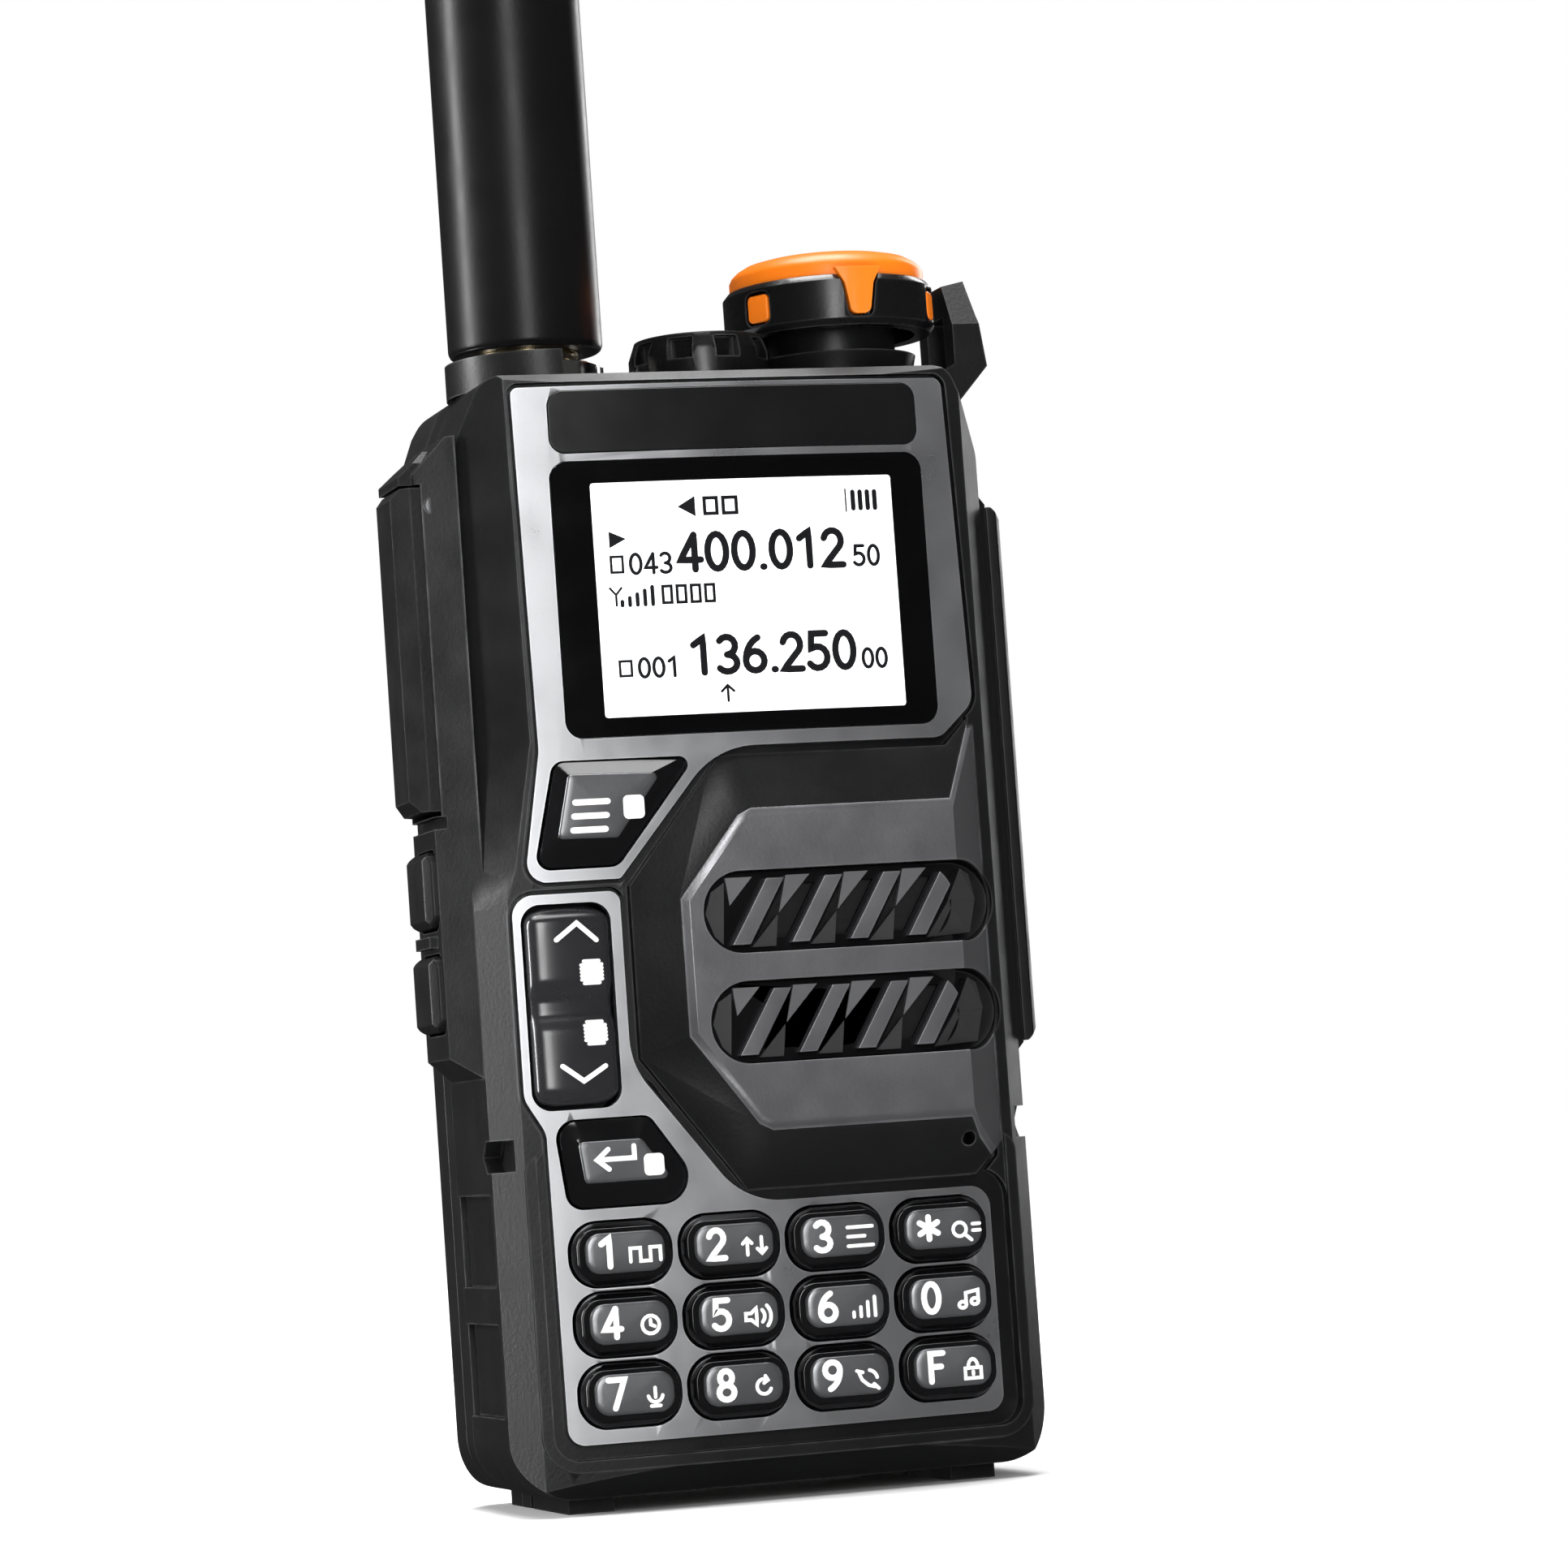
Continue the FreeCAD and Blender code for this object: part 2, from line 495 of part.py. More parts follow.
# ---- trim, display and speaker ------------------------------------------------------------------
def lcd_outline(grow):
    return rectangle(LCD_MIN[0] - grow, LCD_MAX[0] + grow, LCD_MIN[1] - grow, LCD_MAX[1] + grow, 0.5 + grow)


def upper_bezel():
    plate = bowed(UPPER_BEZEL, 0, BEZEL_T)
    for hollow in (prism(M_HOLE, -6, 6), bowed(grown(NAME_PLATE, 0.05), -1, 0.7),
                   bowed(grown(WINDOW, 0.08), -1, 0.85), prism(lcd_outline(0.2), -3, 6)):
        plate = plate.cut(hollow)
    return plate


def lower_bezel():
    plate = bowed(LOWER_BEZEL, 0, BEZEL_T)
    for outline in [centred(x, z, *KEY_HOLE) for _, x, z in key_centres()] + [EXIT_HOLE, ROCKER_HOLE]:
        plate = plate.cut(prism(outline, -6, 6))
    return plate


def backlight():
    tray = prism(lcd_outline(1.8), 4.4, 6.8)
    return tray.cut(prism(lcd_outline(0.0), 4.0, 4.9))


def grille():
    """The dome's plate and two inserts in its slots, each with slanting bars."""
    inserts = [dome_plate()]
    for z in SLOT_Z:
        bottom, top = z - SLOT_H / 2, z + SLOT_H / 2
        bars, gaps = [], []
        for i in range(BAR_COUNT):
            x = BAR_START_X + i * BAR_PITCH
            x0, x1 = x + BAR_LEAN * BAR_MARGIN, x + BAR_LEAN * (SLOT_H - BAR_MARGIN)
            low, high = bottom + BAR_MARGIN, top - BAR_MARGIN
            bars.append(prism([(x0, low), (x0 + BAR_W, low), (x1 + BAR_W, high), (x1, high)], -2.15, -1.1))
        for i in range(BAR_COUNT - 1):
            x = BAR_START_X + i * BAR_PITCH + BAR_W + 0.5
            width = BAR_PITCH - BAR_W - 1.0
            low, high = 1.5, SLOT_H - 1.5
            gaps.append(prism([(x + BAR_LEAN * low, bottom + low), (x + width + BAR_LEAN * low, bottom + low),
                               (x + width + BAR_LEAN * high, bottom + high), (x + BAR_LEAN * high, bottom + high)],
                              -3, 3))
        outline = rectangle(SLOT_X0 + 0.1, 20.3, bottom + 0.1, top - 0.1, SLOT_H / 2 - 0.2)
        base = prism(outline, -1.15, -0.62)
        insert = joined([base] + [slat.common(prism(outline, -3, 0)) for slat in bars])
        for gap in gaps:
            insert = insert.cut(gap)
        inserts.append(insert)
    return Part.makeCompound(inserts)


def speaker_mesh():
    return rod(14.5, (SPEAKER_X, -0.55, SPEAKER_Z), (SPEAKER_X, -0.2, SPEAKER_Z))


def speaker_driver():
    rim_ring = rod(14.4, (SPEAKER_X, -0.15, SPEAKER_Z), (SPEAKER_X, 2.4, SPEAKER_Z))
    rim_ring = rim_ring.cut(rod(12.6, (SPEAKER_X, -1, SPEAKER_Z), (SPEAKER_X, 0.9, SPEAKER_Z)))
    basket = Part.makeCone(14.0, 8.6, 4.0, V(SPEAKER_X, 2.3, SPEAKER_Z), V(0, 1, 0))
    magnet = rod(7.6, (SPEAKER_X, 6.2, SPEAKER_Z), (SPEAKER_X, 10.2, SPEAKER_Z))
    return joined([rim_ring, basket, magnet])


def microphone():
    return rod(2.3, (MIC_X, 4.45, MIC_Z), (MIC_X, 7.6, MIC_Z)).cut(sound_hole(4, 5.2))


# ---- keys ---------------------------------------------------------------------------------------
def key(opening, top, x):
    """A key that fills its opening behind the trim and narrows to its flat top."""
    low = grown(opening, -KEY_GAP)
    front = bow_depth(x)
    stem = prism(low, front - 0.2, KEY_BACK)
    return joined([stem, tapered(low, top, front - 0.2, front - KEY_RISE)])


def number_key(x, z):
    return key(centred(x, z, *KEY_HOLE), centred(x, z, *KEY_TOP), x)


def rocker_key():
    """The long up and down key, with a saddle across its middle."""
    front = bow_depth(20.2)
    middle = ROCKER_PIVOT[1]
    profile = [(KEY_BACK, middle - 9.9), (front - 0.3, middle - 9.9), (front - 1.45, middle - 8.0),
               (front - 1.3, middle - 2.6), (front - 0.5, middle - 1.1), (front - 0.5, middle + 1.1),
               (front - 1.3, middle + 2.6), (front - 1.45, middle + 8.0), (front - 0.3, middle + 9.9),
               (KEY_BACK, middle + 9.9)]
    body = side_prism(profile, -26, -14).common(prism(grown(ROCKER_HOLE, -KEY_GAP - 0.05), -6, 6))
    body = trimmed(body, (-24.5, front - 0.2, 0), (-0.78, -0.62, 0))
    body = trimmed(body, (-15.9, front - 0.2, 0), (0.78, -0.62, 0))
    return body.cut(rod(0.5 + RUN, (-27, ROCKER_PIVOT[0], middle), (-13, ROCKER_PIVOT[0], middle)))


def rocker_pin():
    return rod(0.5, (-25.9, ROCKER_PIVOT[0], ROCKER_PIVOT[1]), (-14.4, ROCKER_PIVOT[0], ROCKER_PIVOT[1]))


def key_membrane():
    sheet = [(-24.6, 60.6), (-24.6, 74.4), (-6.4, 74.4), (-13.6, 60.6), (-13.6, 37.0), (-6.0, 29.0), (23.6, 29.0),
             (23.6, 4.4), (-23.8, 4.4), (-25.4, 37.0), (-25.4, 60.6)]
    return prism(sheet, 5.15, 6.1)


def talk_bar():
    plan = [(-28.4, PTT_Y0), (-31.8, PTT_Y0), (-PTT_OUT, PTT_Y0 + 1.5), (-PTT_OUT, PTT_Y1 - 1.9), (-31.6, PTT_Y1),
            (-28.4, PTT_Y1)]
    bar = plan_prism(plan, PTT_Z0, PTT_Z1)
    bar = trimmed(bar, (-PTT_OUT, 0, PTT_Z1 - 1.0), (-0.75, 0, 0.66))
    bar = trimmed(bar, (-PTT_OUT, 0, PTT_Z0 + 1.2), (-0.75, 0, -0.66))
    nub = box(-28.6, -27.4, 11.2, 13.6, PTT_Z0 + 1.6, PTT_Z0 + 5.6)
    bar = joined([bar, nub])
    return bar.cut(rod(PTT_PIN_R + RUN, (PTT_PIN_X, 0, PTT_PIN_Z), (PTT_PIN_X, 30, PTT_PIN_Z)))


def talk_bar_pin():
    return rod(PTT_PIN_R, (PTT_PIN_X, PTT_Y0 - 0.8, PTT_PIN_Z), (PTT_PIN_X, PTT_Y1 + 0.8, PTT_PIN_Z))


def side_key(z):
    block = side_key_prism(z, 0, -SIDE_KEY_OUT, -27.0)
    half_y, half_z = SIDE_KEY_SIZE[0] / 2, SIDE_KEY_SIZE[1] / 2
    for sign in (-1, 1):
        block = trimmed(block, (-SIDE_KEY_OUT, SIDE_KEY_Y + sign * (half_y - 0.8), 0), (-0.7, sign * 0.7, 0))
        block = trimmed(block, (-SIDE_KEY_OUT, 0, z + sign * (half_z - 0.8)), (-0.7, 0, sign * 0.7))
    return block


# ---- inside -------------------------------------------------------------------------------------
def boss(x, z, start, grow):
    """The block that a body screw bites into: a post, or a filled corner at the bottom."""
    if z > 20:
        return rod(BOSS_R + grow, (x, start, z), (x, 17.7, z))
    corner = box(21.4 - grow, 40, start, 17.7, -5, 7.4 + grow).common(prism(body_outline(1.0), 0, 30))
    return corner if x > 0 else corner.mirror(V(0, 0, 0), V(1, 0, 0))


def main_board():
    plate = box(-25.6, 25.6, 8.6, 10.2, 3.2, 103.0)
    plate = plate.cut(rod(15.0, (SPEAKER_X, 0, SPEAKER_Z), (SPEAKER_X, 20, SPEAKER_Z)))
    for x, z, _ in SCREWS:
        plate = plate.cut(boss(x, z, 3, 0.3))
    plate = plate.cut(box(18.0, 30, 0, 20, 52.0, 92.0)).cut(box(-30, -24.6, 0, 20, 44.0, 103.5))
    shields = [box(-17, 12, 10.2, 13.4, 72, 96), box(-18, 16, 10.2, 13.0, 8, 30)]
    sockets = [box(-6, 6, 7.0, 8.6, 67.4, 71.4)]
    return joined([plate] + shields + sockets)


def side_board():
    strip = box(-25.6, -24.9, 7.6, 17.6, 46.0, 80.0)
    switches = [box(-26.05, -25.6, SIDE_KEY_Y - 1.6, SIDE_KEY_Y + 1.6, z - 1.6, z + 1.6)
                for z in (PTT_Z0 + 3.6,) + SIDE_KEY_Z]
    return joined([strip] + switches)


def headset_jacks():
    jacks = []
    for z, bore in zip(JACK_Z, JACK_BORE_R):
        barrel = rod(bore + 1.25, (JACK_FACE_X - 3.0, JACK_Y, z), (JACK_FACE_X, JACK_Y, z))
        block = box(JACK_FACE_X - JACK_LENGTH, JACK_FACE_X - 3.0, JACK_Y - 2.8, JACK_Y + 2.8, z - 3.4, z + 3.4)
        jack = barrel.fuse(block).removeSplitter()
        jacks.append(jack.cut(rod(bore, (JACK_FACE_X - 11.0, JACK_Y, z), (JACK_FACE_X + 1, JACK_Y, z))))
    return Part.makeCompound(jacks)


def usb_port():
    shell = usb_prism(0.15, 21.0, JACK_FACE_X - 0.2)
    shell = shell.cut(usb_prism(-0.3, 22.4, 40))
    tongue = box(22.0, 27.6, JACK_Y - 0.35, JACK_Y + 0.35, USB_Z - 3.2, USB_Z + 3.2)
    return shell.fuse(tongue).removeSplitter()


def socket_cover():
    plan = [(COVER_X0, COVER_Y0), (31.0, COVER_Y0), (COVER_X1, COVER_Y0 + 1.0), (COVER_X1, COVER_Y1),
            (COVER_X0, COVER_Y1)]
    flap = plan_prism(plan, COVER_Z0, COVER_Z1)
    flap = trimmed(flap, (COVER_X1, 0, COVER_Z0 + 1.2), (0.72, 0, -0.70))
    flap = trimmed(flap, (COVER_X1, 0, COVER_Z1 - 1.2), (0.72, 0, 0.70))
    knuckle = upright(KNUCKLE_R, COVER_PIN[0], COVER_PIN[1], KNUCKLE_Z0, KNUCKLE_Z1)
    web = box(COVER_X0 + 0.15, COVER_X1, COVER_Y1 - 0.5, COVER_PIN[1], KNUCKLE_Z0, KNUCKLE_Z1)
    ribs = [box(COVER_X1 - 0.2, COVER_X1 + 0.35, 9.0, 15.6, z, z + 1.0) for z in (46.0, 48.4, 50.8, 53.2)]
    flap = joined([flap, web, knuckle] + ribs)
    return flap.cut(upright(COVER_PIN_R + RUN, COVER_PIN[0], COVER_PIN[1], 0, 120))


def cover_pin():
    return upright(COVER_PIN_R, COVER_PIN[0], COVER_PIN[1], KNUCKLE_Z0 - 2.3, KNUCKLE_Z1 + 2.3)


# ---- top: antenna, torch and knob ---------------------------------------------------------------
def antenna_sleeve():
    foot, tip = ANTENNA_BASE, ANTENNA_BASE + ANTENNA_LEN
    outer = [(ANTENNA_R - 0.35, foot), (ANTENNA_R, foot + 0.5), (ANTENNA_R, foot + 42), (7.2, foot + 62),
             (5.9, foot + 110), (5.2, tip - 4.0), (4.6, tip - 1.4), (3.2, tip - 0.3), (0, tip)]
    inner = [(0, tip - 8), (2.6, tip - 8), (2.9, foot + 12), (5.5, foot + 12), (5.5, foot)]
    return revolved(outer + inner, ANTENNA_X, TOP_Y)


def antenna_plug():
    collar = upright(5.45, ANTENNA_X, TOP_Y, ANTENNA_BASE - 0.4, ANTENNA_BASE + 11.5)
    return collar.cut(upright(2.6 + RUN, ANTENNA_X, TOP_Y, 100, ANTENNA_BASE + 5.0))


def antenna_core():
    former = upright(1.7, ANTENNA_X, TOP_Y, ANTENNA_BASE + 11.7, ANTENNA_BASE + ANTENNA_LEN - 9)
    rings = [upright(2.3, ANTENNA_X, TOP_Y, z, z + 0.9)
             for z in [ANTENNA_BASE + 16 + 6.0 * i for i in range(21)]]
    return joined([former] + rings)


def antenna_socket():
    flange = upright(4.0, ANTENNA_X, TOP_Y, 106.6, 108.6)
    stem = upright(3.25, ANTENNA_X, TOP_Y, 103.0, BODY_H + 0.4)
    barrel = upright(2.6, ANTENNA_X, TOP_Y, BODY_H, ANTENNA_BASE + 4.4)
    return joined([flange, stem, barrel])


def antenna_nut():
    ring = upright(7.7, ANTENNA_X, TOP_Y, BODY_H + 0.4, BODY_H + 2.3)
    neck = upright(5.0, ANTENNA_X, TOP_Y, BODY_H + 2.2, ANTENNA_BASE - 0.8)
    return ring.fuse(neck).removeSplitter().cut(upright(3.3, ANTENNA_X, TOP_Y, 100, 130))


def torch_ring():
    ring = revolved([(4.9, 106.0), (5.7, 106.0), (5.7, BODY_H), (TORCH_R, BODY_H), (TORCH_R, 115.6),
                     (6.7, TORCH_TOP), (5.4, TORCH_TOP), (4.9, 117.0)], TORCH_X, TORCH_Y)
    for i in range(9):
        notch = box(-1.3, 1.3, -TORCH_R - 1, -5.9, BODY_H + 1.8, TORCH_TOP - 0.5)
        notch.rotate(V(0, 0, 0), V(0, 0, 1), 40.0 * i + 8)
        notch.translate(V(TORCH_X, TORCH_Y, 0))
        ring = ring.cut(notch)
    return ring


def torch_reflector():
    return revolved([(1.5, 107.0), (4.8, 107.0), (4.8, 114.7), (4.4, 114.7), (3.7, 111.4), (2.3, 108.9), (1.5, 108.4)],
                    TORCH_X, TORCH_Y)


def torch_lens():
    return upright(4.8, TORCH_X, TORCH_Y, 115.0, 116.3)


def knob_tab(grow):
    """The pointer that runs down the front of the knob from its cap."""
    half = [(2.5, SKIRT_Z1 + 0.7, 0), (1.55, SKIRT_Z1 - 1.0, 1.2), (1.0, SKIRT_Z0 + 1.1 - grow, 0.8)]
    outline = [(KNOB_X - x - grow, z, radius) for x, z, radius in half]
    outline += [(KNOB_X + x + grow, z, radius) for x, z, radius in half[::-1]]
    wedge = prism(outline, 0, TOP_Y - 6)
    outer = SKIRT_R + (2 if grow else 0.1)
    return wedge.common(upright(outer, KNOB_X, TOP_Y, 110, 130).cut(upright(SKIRT_R - 1.3, KNOB_X, TOP_Y, 110, 130)))


def knob_window(i, grow):
    """One of the small inserts round the skirt, or with a grow its recess."""
    block = prism(centred(0, SKIRT_Z0 + 2.65, 2.8 + 2 * grow, 2.9 + 2 * grow, 0.6 + grow),
                  -SKIRT_R + 0.05 - 9 * grow, -SKIRT_R + 1.3)
    block.rotate(V(0, 0, 0), V(0, 0, 1), 60.0 * i)
    block.translate(V(KNOB_X, TOP_Y, 0))
    return block


def knob_skirt():
    roof = SKIRT_Z0 + 2.6
    skirt = revolved([(SKIRT_BORE, SKIRT_Z0), (SKIRT_R - 0.5, SKIRT_Z0), (SKIRT_R, SKIRT_Z0 + 0.7),
                      (SKIRT_R, SKIRT_Z1 - 0.6), (SKIRT_R - 0.5, SKIRT_Z1), (SHAFT_BORE, SKIRT_Z1),
                      (SHAFT_BORE, roof), (SKIRT_BORE, roof)], KNOB_X, TOP_Y)
    for i in range(1, 6):
        skirt = skirt.cut(knob_window(i, 0.3))
    return skirt.cut(knob_tab(0.3))


def knob_cap():
    cap = revolved([(0, SKIRT_Z1), (CAP_R, SKIRT_Z1), (CAP_R, SKIRT_Z1 + 1.2), (CAP_R - 0.25, SKIRT_Z1 + 1.7),
                    (CAP_R - 0.8, SKIRT_Z1 + 2.2), (CAP_R - 1.6, SKIRT_Z1 + 2.65), (CAP_R - 2.8, SKIRT_Z1 + 2.95),
                    (CAP_R - 4.8, CAP_TOP - 0.1), (0, CAP_TOP)], KNOB_X, TOP_Y)
    return joined([cap, knob_tab(0)])


def knob_inserts():
    return Part.makeCompound([knob_window(i, 0) for i in range(1, 6)])


def knob_shaft():
    return upright(SHAFT_R, KNOB_X, TOP_Y, 105.6, SKIRT_Z1 - 0.05)


def volume_control():
    can = upright(7.4, KNOB_X, TOP_Y, 104.4, 109.4)
    bushing = upright(3.95, KNOB_X, TOP_Y, 108.0, 117.0)
    can = can.common(box(0, 26.0, 6.0, 17.6, 90, 130)).fuse(bushing).removeSplitter()
    return can.cut(upright(SHAFT_R + RUN, KNOB_X, TOP_Y, 105.4, 130))


# ---- back: frame, battery, latch and belt clip ---------------------------------------------------
def back_edges(block, half, back, depth=3.4):
    """Bevels on the two upright back edges."""
    for sign in (-1, 1):
        block = trimmed(block, (sign * half, back - depth, 0), (sign * 0.80, 0.60, 0))
        block = trimmed(block, (sign * (half - 1.6), back - 1.2, 0), (sign * 0.45, 0.893, 0))
    return block


def rails(grow):
    parts = []
    for sign in (-1, 1):
        x = sign * RAIL_X
        parts.append(box(x - 0.7 - grow, x + 0.7 + grow, SHELL_D - 0.5, 22.0, 30 - grow, 80))
        parts.append(box(x - RAIL_W / 2 - grow, x + RAIL_W / 2 + grow, 21.6 - grow, 21.6 + RAIL_T + grow, 30 - grow, 80))
    return parts


def clip_lugs():
    lugs = []
    for x0, x1 in ((-11.6, -9.6), (9.6, 11.6)):
        barrel = rod(2.3, (x0, CLIP_PIN_Y, CLIP_PIN_Z), (x1, CLIP_PIN_Y, CLIP_PIN_Z))
        root = side_prism([(HEAD_BACK - 0.4, CLIP_PIN_Z - 4.6), (CLIP_PIN_Y + 1.3, CLIP_PIN_Z - 1.8),
                           (CLIP_PIN_Y, CLIP_PIN_Z + 2.3), (HEAD_BACK - 0.4, CLIP_PIN_Z + 2.9)], x0, x1)
        lugs.append(barrel.fuse(root).removeSplitter())
    return lugs


def rear_frame():
    """The back of the radio: a plate behind the electronics and the thick head above the battery."""
    plate = prism(body_outline(WALL + 0.15), 17.8, SHELL_D)
    head = prism(body_outline(0), SHELL_D, HEAD_BACK).common(box(-40, 40, 0, 40, BATTERY_TOP + 0.5, 120))
    head = back_edges(head, BODY_HALF, HEAD_BACK)
    head = trimmed(head, (0, HEAD_BACK - 3.2, BODY_H), (0, 0.66, 0.75))
    hollow = prism(body_outline(2.4), 10, HEAD_BACK - 2.2).common(box(-24.6, 24.6, 0, 40, BATTERY_TOP + 2.7, 106.6))
    head = head.cut(hollow)
    frame = joined([plate.cut(box(-24.2, 24.2, 0, 40, BATTERY_TOP + 3.0, 106.4)), head] + rails(0) + clip_lugs()
                   + [box(x - 0.7, x + 0.7, SHELL_D - 0.5, 20.6, 4.0, 30.2) for x in (-RAIL_X, RAIL_X)])
    frame = frame.cut(upright(10.3, KNOB_X, TOP_Y, BODY_H - 0.6, 130))
    guide = box(-4.4, 4.4, HEAD_BACK - 0.9, HEAD_BACK + 1, 80, 98.4)
    neck_slot = box(-3.0, 3.0, 20, 40, 89.6, 96.2)
    frame = frame.cut(guide).cut(neck_slot)
    frame = frame.cut(rod(CLIP_PIN_R, (-12, CLIP_PIN_Y, CLIP_PIN_Z), (12, CLIP_PIN_Y, CLIP_PIN_Z)))
    for x, z, _ in SCREWS:
        frame = frame.cut(rod(SCREW_R + 0.1, (x, 10, z), (x, 30, z)))
        frame = frame.cut(rod(SCREW_HEAD_R + 0.1, (x, 19.0, z), (x, 30, z)))
    return frame


def body_screws():
    screws = []
    for x, z, _ in SCREWS:
        head = rod(SCREW_HEAD_R, (x, 19.0, z), (x, 19.9, z))
        shank = rod(SCREW_R, (x, 11.0, z), (x, 19.0, z))
        socket = rod(0.8, (x, 19.5, z), (x, 21.0, z))
        screws.append(head.fuse(shank).removeSplitter().cut(socket))
    return Part.makeCompound(screws)


def battery_outline(inset):
    half = BODY_HALF - 0.3 - inset
    low, corner = BODY_LOW + inset, CORNER_R - inset
    return [(-half, low, corner), (half, low, corner), (half, BATTERY_TOP - inset, 0), (-half, BATTERY_TOP - inset, 0)]


def battery_case():
    block = prism(battery_outline(0), LID_BACK, TOTAL_D)
    block = back_edges(block, BODY_HALF - 0.3, TOTAL_D, 4.4)
    hollow = prism(battery_outline(1.9), 10, TOTAL_D - 2.0)
    block = block.cut(hollow.common(box(-25.2, 25.2, 0, 40, 0, BATTERY_TOP - 1.9)))
    for i in range(5):
        z = 10.0 + 3.0 * i
        block = block.cut(box(-11, 11, TOTAL_D - 0.5, TOTAL_D + 1, z, z + 1.3))
    notch = box(-4.9, 4.9, 29.6, 40, 83.4, 90)
    pocket_wall = box(-6.4, 6.4, 28.0, TOTAL_D - 1.0, 82.0, BATTERY_TOP)
    return joined([block, pocket_wall] + feet(LID_BACK, 29.0, 0.8)).cut(notch)


def battery_lid():
    plate = prism(battery_outline(0), BATTERY_Y0, LID_BACK)
    for sign in (-1, 1):
        x = sign * RAIL_X
        plate = plate.cut(box(x - 1.1, x + 1.1, 19, 22.4, 28.6, 90))
        plate = plate.cut(box(x - 1.1, x + 1.1, 19, 20.95, 3.4, 30))
        plate = plate.cut(box(x - RAIL_W / 2 - 0.4, x + RAIL_W / 2 + 0.4, 21.2, 23.2, 28.6, 90))
    for x in CONTACT_X:
        plate = plate.cut(box(x - 1.5, x + 1.5, 19, BATTERY_Y0 + 0.9, 77.0, 83.0))
    return joined([plate] + feet(BATTERY_Y0 + 0.3, LID_BACK, 0.8))


def battery_contacts():
    return Part.makeCompound([box(x - 1.4, x + 1.4, BATTERY_Y0 + 0.35, BATTERY_Y0 + 0.85, 77.1, 82.9)
                              for x in CONTACT_X])


def battery_cells():
    cells = []
    for x0, x1 in ((-23.6, -0.3), (0.3, 23.6)):
        cell = box(x0, x1, LID_BACK + 0.2, TOTAL_D - 2.3, 8.0, 79.0)
        cells.append(softened(cell, 1.6, lambda e: abs(e.tangentAt(e.FirstParameter).z) > 0.9))
    return Part.makeCompound(cells)


def battery_latch():
    """A wide slider with a tongue that drops into the top of the battery."""
    pad = box(-14.0, 14.0, HEAD_BACK + 0.35, HEAD_BACK + 1.7, 89.0, 94.6)
    tongue = box(-4.0, 4.0, HEAD_BACK - 0.5, HEAD_BACK + 1.2, 84.2, 94.6)
    neck = box(-2.6, 2.6, 27.0, HEAD_BACK, 90.0, 93.2)
    keeper = box(-5.0, 5.0, 27.0, HEAD_BACK - 2.6, 90.0, 93.2)
    ridges = [box(x, x + 0.7, HEAD_BACK + 1.6, HEAD_BACK + 2.0, 89.8, 93.8)
              for x in (-13.2, -11.8, -10.4, 9.7, 11.1, 12.5)]
    return joined([pad, tongue, neck, keeper] + ridges)


def clip_pin():
    return rod(CLIP_PIN_R, (-11.5, CLIP_PIN_Y, CLIP_PIN_Z), (11.5, CLIP_PIN_Y, CLIP_PIN_Z))


def belt_clip():
    """A sprung clip that hangs from its pin down the back of the battery."""
    y, z = CLIP_PIN_Y, CLIP_PIN_Z
    foot = CLIP_FOOT_Z
    blade = side_prism([(y - 0.6, z), (y - 0.6, foot + 8), (TOTAL_D + 0.5, foot + 5.5), (TOTAL_D + 0.5, foot + 3),
                        (y - 0.2, foot), (y + 1.1, foot + 0.2), (TOTAL_D + 2.3, foot + 4.2), (y + 1.2, foot + 8),
                        (y + 1.4, z), (y + 4.8, z + 5.8), (y + 3.6, z + 6.6), (y + 0.6, z + 1.8)],
                       -CLIP_HALF, CLIP_HALF)
    barrel = rod(2.1, (-CLIP_HALF, y, z), (CLIP_HALF, y, z))
    clip = joined([blade, barrel])
    for sign in (-1, 1):
        clip = trimmed(clip, (sign * CLIP_HALF, 0, foot + 4), (sign * 0.75, 0, -0.66))
    clip = clip.cut(box(-4.5, 4.5, 30, 45, foot + 14, foot + 40))
    return clip.cut(rod(CLIP_PIN_R + RUN, (-20, y, z), (20, y, z)))


